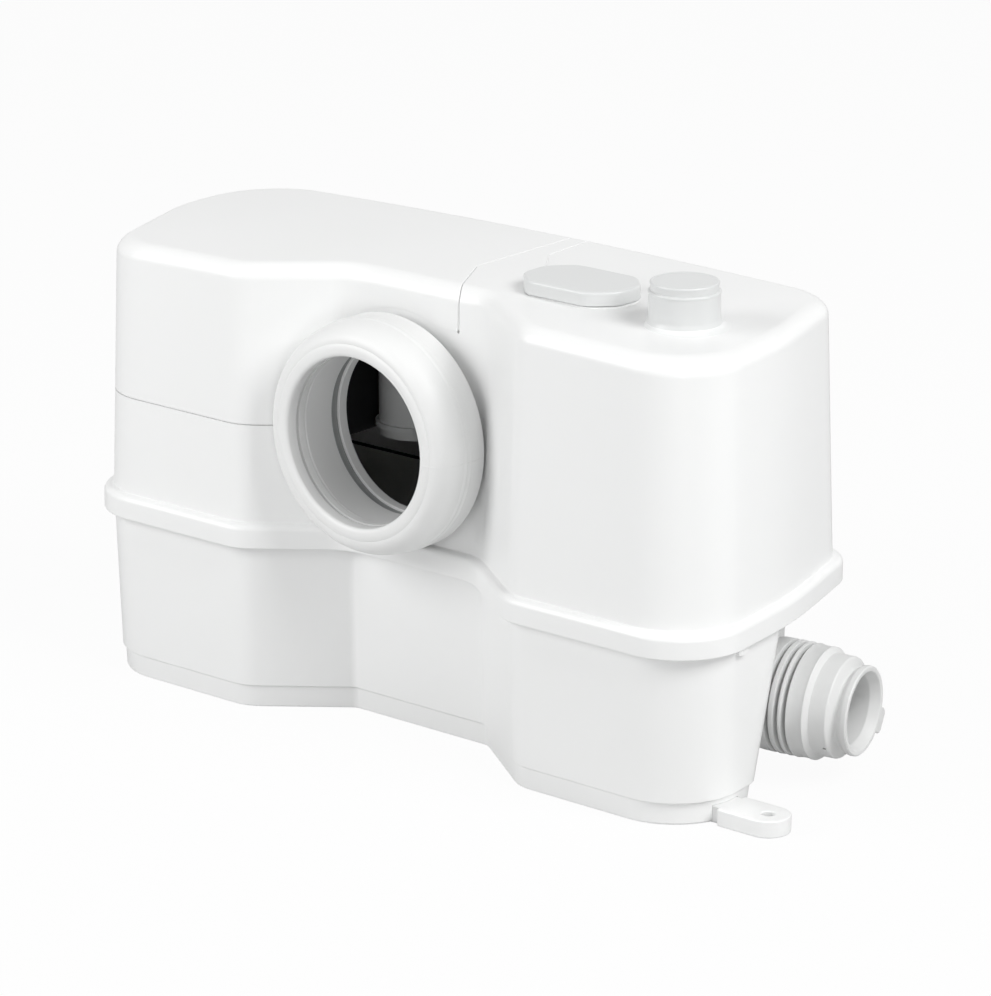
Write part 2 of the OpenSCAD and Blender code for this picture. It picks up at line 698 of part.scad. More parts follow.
// Pipe from the volute to the valve
outlet_y = bend.y;
pipe_x0 = motor_x + 26;
module discharge_pipe() color(part_grey) difference() {
  along_x(pipe_x0 + volute_r - 10, valve_x - 1 - pipe_x0 - volute_r + 10, pipe_r);
  along_x(pipe_x0, 400, pipe_r - pipe_w);
}

collar_at = pipe_x0 + volute_r + 6;
module pipe_collar() color(black) difference() {
  along_x(collar_at, 12, pipe_r + 3);
  along_x(collar_at - 20, 60, pipe_r + seat);
}

// Clip-on fixing feet
module foot() color(white) difference() {
  union() {
    cylinder(r = foot_r, h = foot_h);
    translate([foot_in + foot_root, -foot_r, 0]) cube([-foot_in - foot_root, 2 * foot_r, foot_h]);
    translate([foot_in + seat, foot_neck - foot_r, 0]) cube([foot_root, 2 * (foot_r - foot_neck), foot_h]);
  }
  translate([0, 0, -past]) cylinder(r = foot_hole_r, h = foot_h + 2 * past);
}
module foot_right() at_foot_right() foot();
module foot_left() at_foot_left() foot();

// Dark carrier: dry deck for the motor, upright wall and upper deck over the wet space
carrier_wall_x = motor_x + can_r + 3;
upper_deck_z = split_front_z - 1;
carrier_clear = 0.5;
module carrier_plan(d) intersection() {
  polygon(outline(body, d));
  children();
}
deck_in = wall_in(deck_z) + wall + carrier_clear;
upper_in = wall_in(upper_deck_z) + wall + carrier_clear;
carrier_w = 2.5;
front_shelf_y = carrier_clear - front_shelf;
module motor_carrier() color(black) difference() {
  union() {
    translate([0, 0, deck_z - deck_t]) linear_extrude(deck_t)
      carrier_plan(deck_in) translate([-span, -span]) square([span + carrier_wall_x + carrier_w, 2 * span]);
    translate([0, 0, upper_deck_z - deck_t]) linear_extrude(deck_t)
      carrier_plan(upper_in) intersection() {
        translate([carrier_wall_x, front_shelf_y]) square([span, span]);
        polygon(concat([[-span, -span]], split_edge(0), [[-span, span]]));
      }
    translate([0, 0, deck_z - deck_t]) linear_extrude(upper_deck_z - deck_z + deck_t) carrier_plan(upper_in)
      union() {
        translate([carrier_wall_x, -span]) square([carrier_w, 2 * span]);
        translate([carrier_wall_x, back_y - upper_in - carrier_w])
          square([split_x - carrier_wall_x, carrier_w + past]);
      }
  }
  at_drive(deck_z - deck_t - past) cylinder(r = column_r + seat, h = 20);
  translate([bell_x, bell_y, upper_deck_z - 20]) cylinder(r = bell_neck_r + seat, h = 40);
  at_drive() screw_ring(screw_pcd, 4) translate([0, 0, deck_z - 20]) cylinder(r = screw_r + seat, h = 40);
}

// Screws on a circle round the shaft
screw_r = 2;
screw_head_r = 3.6;
screw_head_h = 2.5;
screw_pcd = 38;
module screw_ring(r, n) for (k = [0:n - 1]) rotate([0, 0, 360 / n * k + 45]) translate([r, 0, 0]) children();
module screw(l) {
  translate([0, 0, -l]) cylinder(r = screw_r, h = l);
  cylinder(r = screw_head_r, h = screw_head_h);
}

// Motor can, standing on its end plate
plate_h = 12;
can_z = deck_z + plate_h;
can_top = deck_z + can_h;
module motor_can() color(part_grey) at_drive() difference() {
  union() {
    translate([0, 0, can_z]) cylinder(r = can_r, h = can_top - can_z - 5);
    translate([0, 0, can_top - 5]) rotate_extrude() polygon([[0, 0], [can_r, 0], [can_r - 5, 5], [0, 5]]);
  }
  translate([0, 0, can_z - past]) cylinder(r = can_r - can_w, h = can_top - can_z - 12 + past);
  translate([0, 0, can_top - can_head]) cylinder(r = bearing_r + seat / 4, h = bearing_h + 1);
  translate([0, 0, can_top - 30]) cylinder(r = shaft_r + 2, h = 28);
}

module motor_end_plate() color(part_grey) at_drive(deck_z) difference() {
  cylinder(r = can_r, h = plate_h);
  translate([0, 0, plate_h - bearing_h]) cylinder(r = bearing_r + seat / 4, h = bearing_h + past);
  translate([0, 0, -past]) cylinder(r = shaft_r + 2, h = plate_h + 2 * past);
  screw_ring(screw_pcd, 4) translate([0, 0, -past]) cylinder(r = screw_r + seat, h = plate_h + 2 * past);
  screw_ring(screw_pcd, 4) translate([0, 0, plate_h - screw_head_h - 1])
    cylinder(r = screw_head_r + seat, h = plate_h);
}

can_head = 13;
stack_z = (can_z + can_top - can_head - stack_h) / 2;
module stator() color("#8d5a3c") at_drive(stack_z) difference() {
  union() {
    cylinder(r = can_r - can_w - seat, h = stack_h);
    translate([0, 0, -6]) ring(rotor_r + 15, rotor_r + 4, stack_h + 12);
  }
  translate([0, 0, -20]) cylinder(r = rotor_r + air_gap, h = stack_h + 40);
  for (k = [0:11]) rotate([0, 0, 30 * k]) translate([rotor_r + air_gap - 1, -2, -past])
    cube([6, 4, stack_h + 2 * past]);
}

module rotor_core() color("#9aa0a3") at_drive(stack_z) difference() {
  cylinder(r = rotor_r, h = stack_h);
  translate([0, 0, -past]) cylinder(r = shaft_r + run, h = stack_h + 2 * past);
}

// Shaft from the upper bearing down to the cutter
shaft_low = volute_z - 14;
shaft_top = can_top - can_head + bearing_h;
module shaft() color(steel) at_drive(shaft_low) cylinder(r = shaft_r, h = shaft_top - shaft_low);

module bearing() color(steel) ring(bearing_r, shaft_r + run, bearing_h);
module bearing_upper() at_drive(can_top - can_head) bearing();
module bearing_lower() at_drive(deck_z + plate_h - bearing_h) bearing();

// Column between the volute and the deck, with the shaft seal in its head
column_r = 22;
column_w = 3;
volute_top = volute_z + volute_h;
seal_h = 7;
module pump_column() color(black) at_drive() difference() {
  union() {
    translate([0, 0, volute_top]) cylinder(r = column_r, h = deck_z - volute_top);
    translate([0, 0, deck_z - deck_t - 5]) cylinder(r = screw_pcd + screw_head_r + 2, h = 5);
    translate([0, 0, volute_top]) cylinder(r = volute_r, h = 4);
    for (k = [0:3]) rotate([0, 0, 90 * k]) translate([0, -1.5, volute_top])
      cube([screw_pcd - 2, 3, deck_z - deck_t - volute_top]);
  }
  translate([0, 0, volute_top - past])
    cylinder(r = column_r - column_w, h = deck_z - volute_top - seal_h - 4);
  translate([0, 0, deck_z - seal_h - 2]) cylinder(r = bearing_r, h = seal_h + 2 + past);
  translate([0, 0, volute_top - past]) cylinder(r = shaft_r + 2, h = 200);
  screw_ring(screw_pcd, 4) translate([0, 0, deck_z - 30]) cylinder(r = screw_r + seat, h = 60);
  screw_ring(volute_r - 5, 6) translate([0, 0, volute_top - past]) cylinder(r = screw_r + seat, h = 20);
}

module shaft_seal() color(black) at_drive(deck_z - seal_h - 2)
  ring(bearing_r - seat / 4, shaft_r + run, seal_h);

// Volute: a cup on three legs with a tangent outlet
leg_r = 5;
module volute() color(part_grey) difference() {
  union() {
    at_drive(volute_z) cylinder(r = volute_r, h = volute_h);
    along_x(motor_x, volute_r + 26, pipe_r + 2);
    for (k = [0:2]) at_drive() rotate([0, 0, 120 * k + 60]) translate([volute_r - 4, 0, floor_t])
      cylinder(r = leg_r, h = volute_z);
  }
  at_drive(volute_z + volute_w) cylinder(r = volute_r - 9, h = volute_h);
  at_drive(volute_z - past) cylinder(r = eye_r, h = 20);
  along_x(motor_x, 200, pipe_r - pipe_w);
  along_x(pipe_x0 + volute_r - 10 - seat, 200, pipe_r + seat);
  at_drive() screw_ring(volute_r - 5, 6) translate([0, 0, volute_top - 12])
    cylinder(r = screw_r + seat / 2, h = 20);
}

impeller_z = volute_z + volute_w + 3;
vane_h = 16;
vane_t = 3;
// Each vane is half a ring from the hub to just inside the disc's edge
vane_y = (impeller_r - shaft_r) / 2;
vane_r = impeller_r - 0.5 - vane_y;
module impeller() color("#3d6f8f") at_drive(impeller_z) difference() {
  union() {
    translate([0, 0, vane_h]) cylinder(r = impeller_r, h = 3);
    cylinder(r = shaft_r + 5, h = vane_h + 8);
    for (k = [0:vane_n - 1]) rotate([0, 0, 360 / vane_n * k]) intersection() {
      translate([0, vane_y, 0]) ring(vane_r, vane_r - vane_t, vane_h + past);
      translate([0, -impeller_r, 0]) cube([2 * impeller_r, 2 * impeller_r, vane_h + past]);
    }
  }
  translate([0, 0, -past]) cylinder(r = shaft_r + run, h = 80);
}

// Fixed ring under the volute and the knife that turns below it
ring_t = 3;
module cutting_ring() color(steel) at_drive(volute_z - ring_t) difference() {
  cylinder(r = basket_r - 6, h = ring_t);
  translate([0, 0, -past]) cylinder(r = eye_r - 4, h = 20);
  for (k = [0:7]) rotate([0, 0, 45 * k]) translate([eye_r - 6, -2.5, -past]) cube([9, 5, 20]);
}

cutter_t = 3;
knife_in = 0.3;
cutter_z = volute_z - ring_t - 0.8 - cutter_t;
module cutter() color(steel) at_drive(cutter_z) difference() {
  union() {
    translate([0, 0, -5]) cylinder(r = 9, h = 5 + cutter_t);
    rotate([0, 0, 20]) translate([0, 0, knife_in]) linear_extrude(cutter_t - 2 * knife_in)
      polygon([[0, -7], [cutter_r - 3, -5], [cutter_r, 1], [cutter_r - 8, 5],
        [0, 7], [3 - cutter_r, 5], [-cutter_r, -1], [8 - cutter_r, -5]]);
  }
  translate([0, 0, -20]) cylinder(r = shaft_r + run, h = 60);
}

// Slotted basket that stands on the tank's floor round the cutter
basket_w = 2.5;
module strainer_basket() color(black) at_drive(floor_t) difference() {
  cylinder(r = basket_r, h = volute_z - floor_t);
  translate([0, 0, 2]) cylinder(r = basket_r - basket_w, h = 60);
  for (k = [0:slot_n - 1]) rotate([0, 0, 360 / slot_n * k]) translate([basket_r - 8, -slot_w / 2, 5])
    cube([20, slot_w, volute_z - floor_t - 9]);
  for (k = [0:2]) rotate([0, 0, 120 * k + 60]) translate([volute_r - 4, 0, -past])
    cylinder(r = leg_r + gap, h = 60);
}

// Bell that traps air, its diaphragm and the plunger of the level switch
bell_neck_r = 14;
bell_head = upper_deck_z - deck_t;
module level_bell() color(part_grey) translate([bell_x, bell_y, 0]) difference() {
  union() {
    translate([0, 0, bell_z]) cylinder(r = bell_r, h = bell_head - bell_z);
    translate([0, 0, bell_z + 5]) cylinder(r = bell_r + 2, h = 3);
    translate([0, 0, bell_head]) cylinder(r = bell_neck_r, h = deck_t + 4);
  }
  translate([0, 0, bell_z - past]) cylinder(r = bell_r - bell_w, h = bell_head - bell_z - 2);
  translate([0, 0, bell_z]) cylinder(r = 4, h = 200);
  translate([0, 0, bell_head + deck_t + 2]) cylinder(r = bell_neck_r - 2, h = 20);
}

diaphragm_z = bell_head + deck_t + 2;
diaphragm_t = 1.4;
module diaphragm() color(black) translate([bell_x, bell_y, diaphragm_z])
  cylinder(r = bell_neck_r - 2 - seat, h = diaphragm_t);

// Box of the level switch over the bell; its roof guides the plunger over the whole travel
box_w = 62;
box_d = 44;
box_h = 12;
roof_t = 5;
plunger_r = 2.5;
plunger_z = diaphragm_z + diaphragm_t + gap;
plunger_h = upper_deck_z + box_h + roof_t - 1 - plunger_travel - plunger_z;
module switch_plunger() color("#b5482f") translate([bell_x, bell_y, plunger_z]) {
  cylinder(r = plunger_r, h = plunger_h);
  cylinder(r = 2 * plunger_r, h = 1.4);
}

box_x = bell_x - 20;
box_y = bell_y - box_d / 2;
module control_box() color("#3b3f43") difference() {
  translate([box_x, box_y, upper_deck_z]) cube([box_w, box_d, box_h + roof_t]);
  translate([box_x + 2, box_y + 2, upper_deck_z - past]) cube([box_w - 4, box_d - 4, box_h]);
  translate([bell_x, bell_y, upper_deck_z - past]) cylinder(r = plunger_r + run, h = box_h + roof_t + 2 * past);
}

capacitor_r = 15;
capacitor_h = 58;
capacitor_nub = 6;
capacitor_y = motor_y + can_r + capacitor_r + 3;
module capacitor() color("#d9dcdd") translate([motor_x, capacitor_y, deck_z]) {
  cylinder(r = capacitor_r, h = capacitor_h);
  translate([0, 0, capacitor_h]) cylinder(r = capacitor_nub, h = capacitor_nub);
}

// Rubber gland where the supply enters the dry space at the back
gland_x = motor_x + 40;
gland_z = deck_z + 11;
gland_r = 6;
gland_bore = 3.6;
gland_tail = 2.5;
gland_nose = 7.5;
gland_y = back_y - wall_in(gland_z);
module at_gland() translate([gland_x, gland_y, gland_z]) rotate([-90, 0, 0]) children();
module gland_hole() at_gland() translate([0, 0, -20]) cylinder(r = gland_r + seat, h = 60);
module cable_gland() color(black) at_gland() difference() {
  union() {
    translate([0, 0, -wall - gland_tail]) cylinder(r = gland_r, h = wall + gland_tail + gland_nose);
    translate([0, 0, 0.6]) cylinder(r = gland_r + 3, h = 2.5);
    translate([0, 0, -wall - gland_tail]) cylinder(r = gland_r + 2, h = 2);
  }
  translate([0, 0, -2 * (wall + gland_tail)]) cylinder(r = gland_bore, h = 4 * (wall + gland_tail + gland_nose));
}

motor_screw_l = 15;
column_screw_l = 10;
module motor_screws() color(steel) at_drive(deck_z + plate_h - screw_head_h - 1)
  screw_ring(screw_pcd, 4) screw(motor_screw_l);
module column_screws() color(steel) at_drive(volute_top + 4) screw_ring(volute_r - 5, 6) screw(column_screw_l);

tank();
lid();
motor_cover();
lid_gasket();
inlet_sleeve();
vent_cap();
vent_filter();
stub_plug();
outlet_adaptor();
valve_body();
flap();
flap_pin();
discharge_pipe();
pipe_collar();
foot_left();
foot_right();
motor_carrier();
motor_can();
motor_end_plate();
stator();
rotor_core();
shaft();
bearing_upper();
bearing_lower();
shaft_seal();
pump_column();
volute();
impeller();
cutting_ring();
cutter();
strainer_basket();
level_bell();
diaphragm();
switch_plunger();
control_box();
capacitor();
cable_gland();
motor_screws();
column_screws();
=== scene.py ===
# %% [markdown]
# # A macerator toilet pump
# The object is a white moulded box with a waist: a tank below, a lid above it, a lift-off cover over
# the motor, a wide rubber sleeve for the pan and a stepped rubber adaptor for the discharge pipe.
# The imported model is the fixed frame. Its inner works keep their solids and get finishes, and the shells
# and rubber pieces that show are modelled again here with finer curves.

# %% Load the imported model
import json
import math
import bmesh
import bpy
from mathutils import Matrix, Vector


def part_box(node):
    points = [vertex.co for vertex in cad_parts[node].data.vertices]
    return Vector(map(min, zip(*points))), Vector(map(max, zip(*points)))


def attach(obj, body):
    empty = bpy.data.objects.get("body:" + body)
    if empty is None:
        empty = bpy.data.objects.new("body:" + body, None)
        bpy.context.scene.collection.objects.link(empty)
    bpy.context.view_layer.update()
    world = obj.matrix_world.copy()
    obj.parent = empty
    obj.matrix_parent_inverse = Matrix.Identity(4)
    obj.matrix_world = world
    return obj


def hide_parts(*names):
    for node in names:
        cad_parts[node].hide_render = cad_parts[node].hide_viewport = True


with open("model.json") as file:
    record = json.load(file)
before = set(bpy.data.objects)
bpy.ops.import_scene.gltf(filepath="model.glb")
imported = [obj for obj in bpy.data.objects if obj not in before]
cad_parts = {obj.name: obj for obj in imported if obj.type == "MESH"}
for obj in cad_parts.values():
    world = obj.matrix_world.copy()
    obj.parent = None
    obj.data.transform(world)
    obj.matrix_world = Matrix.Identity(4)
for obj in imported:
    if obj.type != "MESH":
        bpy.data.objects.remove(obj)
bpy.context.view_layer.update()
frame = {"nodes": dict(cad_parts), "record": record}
MM = 0.001
WELD = 0.000002

# %% [markdown]
# ## Camera
# The photograph was taken from the front right with a long lens, a little above the lid. The place was
# worked out from the outlet, the mouth and the floor line, so it is set as numbers and needs no target.
# Depth of field stays off, because other views move this same camera.

# %% Camera
camera_data = bpy.data.cameras.new("studio_camera")
camera_data.sensor_fit = "HORIZONTAL"
camera_data.sensor_width = 36.0
camera_data.lens = 181.63
camera_data.clip_end = 50.0
camera = bpy.data.objects.new("studio_camera", camera_data)
bpy.context.scene.collection.objects.link(camera)
bpy.context.scene.camera = camera

azimuth = math.radians(40.30)
elevation = math.radians(17.25)
roll = math.radians(-0.10)
eye_mm = Vector((1802.1, -2110.6, 991.0))
back = Vector((math.sin(azimuth) * math.cos(elevation), -math.cos(azimuth) * math.cos(elevation),
               math.sin(elevation)))
level = Vector((math.cos(azimuth), math.sin(azimuth), 0.0))
upward = back.cross(level)
right = level * math.cos(roll) + upward * math.sin(roll)
top = upward * math.cos(roll) - level * math.sin(roll)
turn = Matrix((right, top, back)).transposed().to_4x4()
camera.matrix_world = Matrix.Translation(eye_mm * MM) @ turn
print("camera stands", round(camera.location.length, 3), "m from the middle of the base")

# %% [markdown]
# ## Floor and light
# The picture has a pure white ground. The floor is a plain diffuse plane that the camera mostly sees as
# white light, so it stays white and still keeps a soft shadow. The world is white to the camera and to
# reflections and a little lower for the light that it sheds, so that the lamps can model the shape.

# %% Floor
paper_white, paper_light, paper_share = 0.62, 1.01, 0.94
bpy.ops.object.select_all(action="DESELECT")
bpy.ops.mesh.primitive_plane_add(size=9.0, location=(0, 0, 0))
floor = bpy.context.object
floor.name = "studio_floor"
paper = bpy.data.materials.new("white_paper")
paper.use_nodes = True
paper_nodes = paper.node_tree.nodes
paper_links = paper.node_tree.links
paper_nodes.clear()
paper_out = paper_nodes.new("ShaderNodeOutputMaterial")
paper_mix = paper_nodes.new("ShaderNodeMixShader")
paper_glow = paper_nodes.new("ShaderNodeEmission")
paper_face = paper_nodes.new("ShaderNodeBsdfDiffuse")
paper_path = paper_nodes.new("ShaderNodeLightPath")
paper_face.inputs["Color"].default_value = (paper_white, paper_white, paper_white, 1)
paper_glow.inputs["Color"].default_value = (1, 1, 1, 1)
paper_glow.inputs["Strength"].default_value = paper_light
paper_seen = paper_nodes.new("ShaderNodeMath")
paper_seen.operation = "MULTIPLY"
paper_seen.inputs[1].default_value = paper_share
paper_links.new(paper_path.outputs["Is Camera Ray"], paper_seen.inputs[0])
paper_links.new(paper_seen.outputs[0], paper_mix.inputs["Fac"])
paper_links.new(paper_face.outputs[0], paper_mix.inputs[1])
paper_links.new(paper_glow.outputs[0], paper_mix.inputs[2])
paper_links.new(paper_mix.outputs[0], paper_out.inputs["Surface"])
floor.data.materials.append(paper)
print("floor", floor.name)

# %% World and lamps
shed_strength, seen_strength = 0.35, 1.0
world = bpy.data.worlds.new("studio")
bpy.context.scene.world = world
world.use_nodes = True
world_nodes = world.node_tree.nodes
world_links = world.node_tree.links
world_nodes.clear()
world_out = world_nodes.new("ShaderNodeOutputWorld")
world_mix = world_nodes.new("ShaderNodeMixShader")
world_shed = world_nodes.new("ShaderNodeBackground")
world_seen = world_nodes.new("ShaderNodeBackground")
world_path = world_nodes.new("ShaderNodeLightPath")
world_any = world_nodes.new("ShaderNodeMath")
world_all = world_nodes.new("ShaderNodeMath")
world_any.operation = "MAXIMUM"
world_all.operation = "MAXIMUM"
world_shed.inputs["Color"].default_value = (1, 1, 1, 1)
world_shed.inputs["Strength"].default_value = shed_strength
world_seen.inputs["Strength"].default_value = seen_strength
world_seen.inputs["Color"].default_value = (1, 1, 1, 1)
world_links.new(world_path.outputs["Is Camera Ray"], world_any.inputs[0])
world_links.new(world_path.outputs["Is Glossy Ray"], world_any.inputs[1])
world_links.new(world_any.outputs[0], world_all.inputs[0])
world_links.new(world_path.outputs["Is Transmission Ray"], world_all.inputs[1])
world_links.new(world_all.outputs[0], world_mix.inputs["Fac"])
world_links.new(world_shed.outputs[0], world_mix.inputs[1])
world_links.new(world_seen.outputs[0], world_mix.inputs[2])
world_links.new(world_mix.outputs[0], world_out.inputs["Surface"])


def softbox(name, place, aim, size, energy):
    """A square area lamp that points at a place."""
    data = bpy.data.lights.new(name, "AREA")
    data.shape = "SQUARE"
    data.size = size
    data.energy = energy
    lamp = bpy.data.objects.new(name, data)
    bpy.context.scene.collection.objects.link(lamp)
    lamp.location = place
    lamp.rotation_euler = (Vector(aim) - Vector(place)).to_track_quat("-Z", "Y").to_euler()
    return lamp


softbox("key_left", place=(-1.0, -1.5, 1.0), aim=(-0.05, 0, 0.15), size=1.2, energy=21.0)
softbox("end_right", place=(2.0, 0.0, 1.9), aim=(0.15, 0, 0.15), size=1.3, energy=47.0)
softbox("front_right", place=(1.9, -1.8, 0.4), aim=(0, 0, 0.17), size=0.6, energy=7.5)
bpy.context.scene.view_settings.view_transform = "Standard"

# %% [markdown]
# ## Shared finish: moulding grain
# Injection-moulded plastic isn't one flat colour. Its skin has a very fine spark-eroded grain, the gloss
# drifts over a few centimetres where the melt cooled unevenly, and the white is a little warmer in thick
# places. One node group makes all three from Object coordinates, and each material sets its own amounts.

# %% Node group for the moulding grain
def new_group(name, inputs, outputs):
    """A shader node group with named float inputs and outputs."""
    group = bpy.data.node_groups.new(name, "ShaderNodeTree")
    for label, kind, value in inputs:
        socket = group.interface.new_socket(label, in_out="INPUT", socket_type=kind)
        if value is not None:
            socket.default_value = value
    for label, kind in outputs:
        group.interface.new_socket(label, in_out="OUTPUT", socket_type=kind)
    return group, group.nodes.new("NodeGroupInput"), group.nodes.new("NodeGroupOutput")


FLOAT = "NodeSocketFloat"
grain, grain_in, grain_out = new_group(
    "moulding_grain",
    [("Vector", "NodeSocketVector", None), ("Grain Scale", FLOAT, 1600.0), ("Drift Scale", FLOAT, 7.0),
     ("Gloss Low", FLOAT, 0.26), ("Gloss High", FLOAT, 0.36)],
    [("Tone", FLOAT), ("Roughness", FLOAT), ("Height", FLOAT)])


def noise(tree, vector, scale):
    """A soft noise texture in a tree, with its scale from a socket."""
    node = tree.nodes.new("ShaderNodeTexNoise")
    node.inputs["Detail"].default_value = 1.0
    node.inputs["Roughness"].default_value = 0.5
    tree.links.new(vector, node.inputs["Vector"])
    tree.links.new(scale, node.inputs["Scale"])
    return node.outputs["Fac"]


def remap(tree, value, low, high, to_low=0.0, to_high=1.0):
    """A clamped Map Range. The two targets may be numbers or sockets."""
    node = tree.nodes.new("ShaderNodeMapRange")
    node.inputs["From Min"].default_value = low
    node.inputs["From Max"].default_value = high
    tree.links.new(value, node.inputs["Value"])
    for label, target in (("To Min", to_low), ("To Max", to_high)):
        if isinstance(target, (int, float)):
            node.inputs[label].default_value = target
        else:
            tree.links.new(target, node.inputs[label])
    return node.outputs["Result"]


drift = noise(grain, grain_in.outputs["Vector"], grain_in.outputs["Drift Scale"])
fine = noise(grain, grain_in.outputs["Vector"], grain_in.outputs["Grain Scale"])
drift_low, drift_high = 0.15, 0.85
grain.links.new(remap(grain, drift, drift_low, drift_high), grain_out.inputs["Tone"])
grain.links.new(remap(grain, drift, drift_low, drift_high, grain_in.outputs["Gloss Low"],
                      grain_in.outputs["Gloss High"]), grain_out.inputs["Roughness"])
grain.links.new(fine, grain_out.inputs["Height"])
print("group", grain.name, "with", len(grain.nodes), "nodes")

# %% [markdown]
# ## Materials
# A moulded finish is a Principled shader with the grain group on its colour, gloss and bump. The white
# of the shells, the greyer white of the loose fittings, the pale rubber and the dark inner plastics differ
# only in their numbers, so one function makes them all.

# %% Moulded materials
def moulded(name, light, dark, gloss, grain_scale=1600.0, drift=7.0, depth=0.00002, metal=0.0):
    """A moulded plastic or rubber: two close colours, a range of roughness and a fine bump."""
    material = bpy.data.materials.new(name)
    material.use_nodes = True
    tree = material.node_tree
    shader = tree.nodes["Principled BSDF"]
    place = tree.nodes.new("ShaderNodeTexCoord")
    skin = tree.nodes.new("ShaderNodeGroup")
    skin.node_tree = grain
    skin.inputs["Grain Scale"].default_value = grain_scale
    skin.inputs["Drift Scale"].default_value = drift
    skin.inputs["Gloss Low"].default_value = gloss[0]
    skin.inputs["Gloss High"].default_value = gloss[1]
    tree.links.new(place.outputs["Object"], skin.inputs["Vector"])
    colour = tree.nodes.new("ShaderNodeMix")
    colour.data_type = "RGBA"
    colour.inputs["A"].default_value = (*light, 1)
    colour.inputs["B"].default_value = (*dark, 1)
    tree.links.new(skin.outputs["Tone"], colour.inputs["Factor"])
    tree.links.new(colour.outputs["Result"], shader.inputs["Base Color"])
    tree.links.new(skin.outputs["Roughness"], shader.inputs["Roughness"])
    bump = tree.nodes.new("ShaderNodeBump")
    bump.inputs["Strength"].default_value = 0.35
    bump.inputs["Distance"].default_value = depth
    tree.links.new(skin.outputs["Height"], bump.inputs["Height"])
    tree.links.new(bump.outputs["Normal"], shader.inputs["Normal"])
    shader.inputs["Metallic"].default_value = metal
    return material


shell_white = moulded("shell_white", (0.865, 0.87, 0.868), (0.845, 0.85, 0.845), (0.285, 0.36))
fitting_white = moulded("fitting_white", (0.69, 0.70, 0.698), (0.67, 0.68, 0.677), (0.29, 0.37))
# The stub's foot takes a grey between the shells' white and the fittings' grey. This is partly the lid's
# own white blending into the stub and partly painted light, which makes the stub lighter low down.
fillet_white_and_painted_light = moulded("fillet_white_and_painted_light", (0.80, 0.81, 0.807), (0.78, 0.79, 0.787), (0.29, 0.37))
sleeve_rubber = moulded("sleeve_rubber", (0.81, 0.815, 0.81), (0.755, 0.76, 0.755), (0.40, 0.52),
                        grain_scale=900.0, drift=26.0)
adaptor_rubber = moulded("adaptor_rubber", (0.74, 0.745, 0.74), (0.70, 0.705, 0.70), (0.42, 0.54),
                         grain_scale=900.0, drift=26.0)
bell_grey = moulded("bell_grey", (0.88, 0.89, 0.89), (0.85, 0.86, 0.86), (0.4, 0.5))
inner_grey = moulded("inner_grey", (0.36, 0.37, 0.37), (0.32, 0.33, 0.33), (0.4, 0.5))
inner_black = moulded("inner_black", (0.02, 0.021, 0.022), (0.014, 0.014, 0.015), (0.4, 0.55))
seal_black = moulded("seal_black", (0.03, 0.03, 0.031), (0.022, 0.022, 0.022), (0.6, 0.75),
                     grain_scale=900.0, drift=30.0)
carbon_mat = moulded("carbon_mat", (0.028, 0.028, 0.028), (0.012, 0.012, 0.012), (0.85, 0.95),
                     grain_scale=380.0, drift=60.0, depth=0.0006)
signal_red = moulded("signal_red", (0.5, 0.035, 0.03), (0.42, 0.028, 0.025), (0.35, 0.45))
bare_steel = moulded("bare_steel", (0.60, 0.61, 0.62), (0.50, 0.51, 0.52), (0.29, 0.38),
                     grain_scale=900.0, drift=40.0, metal=1.0)
cast_alloy = moulded("cast_alloy", (0.52, 0.53, 0.54), (0.42, 0.43, 0.44), (0.42, 0.56),
                     grain_scale=700.0, drift=60.0, depth=0.0001, metal=1.0)
core_iron = moulded("core_iron", (0.22, 0.215, 0.21), (0.13, 0.125, 0.12), (0.4, 0.6),
                    grain_scale=700.0, drift=60.0, depth=0.0001, metal=1.0)
finishes = {"white_plastic": shell_white, "grey_plastic": inner_grey, "dark_plastic": inner_black,
            "steel": bare_steel, "pale_rubber": sleeve_rubber, "dark_rubber": seal_black,
            "cast_alloy": cast_alloy, "core_iron": core_iron, "filter_mat": carbon_mat,
            "red_plastic": signal_red}
print("finishes:", sorted(m.name for m in finishes.values()))

# %% [markdown]
# ## Finishes for the inner works
# The motor, the grinder pump, the level bell and the check valve keep their CAD solids, because they are
# turned and moulded shapes that are right already. Each node takes the finish of its slot in the record,
# apart from the bell, which is a paler grey.

# %% Finish every CAD node
slot_of = {part["node"]: part["material_slot"] for part in frame["record"]["subparts"]}
for name, node in frame["nodes"].items():
    finish = bell_grey if name == "level_bell" else finishes[slot_of[name]]
    node.data.materials.clear()
    node.data.materials.append(finish)
print("finished", len(frame["nodes"]), "nodes")

# %% [markdown]
# ## Outline of the body
# Every shell follows one plan: two rounded lobes at the front with a waist between them, bowed ends and a
# straight back. A designer would draw straight sides and fillet each corner. The functions below do that:
# they move the sides inwards by a set-back, then put the same count of points on every corner and side,
# so that rings at different heights can be joined point to point.

# %% Plan of the body, in millimetres
body_plan = [(-259, 97, 45), (-260, 8, 100), (-221.5, -97, 40), (-104, -97, 26), (-52, -57, 34),
             (43, -57, 34), (100, -97, 26), (238.5, -97, 40), (226, 5, 300), (198, 97, 30)]
side_pitch = 11.0
arc_pitch = 4.5
arc_limit = 90


def set_back(plan, d):
    """The plan's corners with every side moved inwards by d."""
    moved = []
    for k, (x, y, r) in enumerate(plan):
        p = Vector((x, y))
        a = (p - Vector(plan[k - 1][:2])).normalized()
        b = (Vector(plan[(k + 1) % len(plan)][:2]) - p).normalized()
        normal = Vector((-a.y - b.y, a.x + b.x)) * (d / (1 + a.dot(b)))
        moved.append((x + normal.x, y + normal.y, r))
    return moved


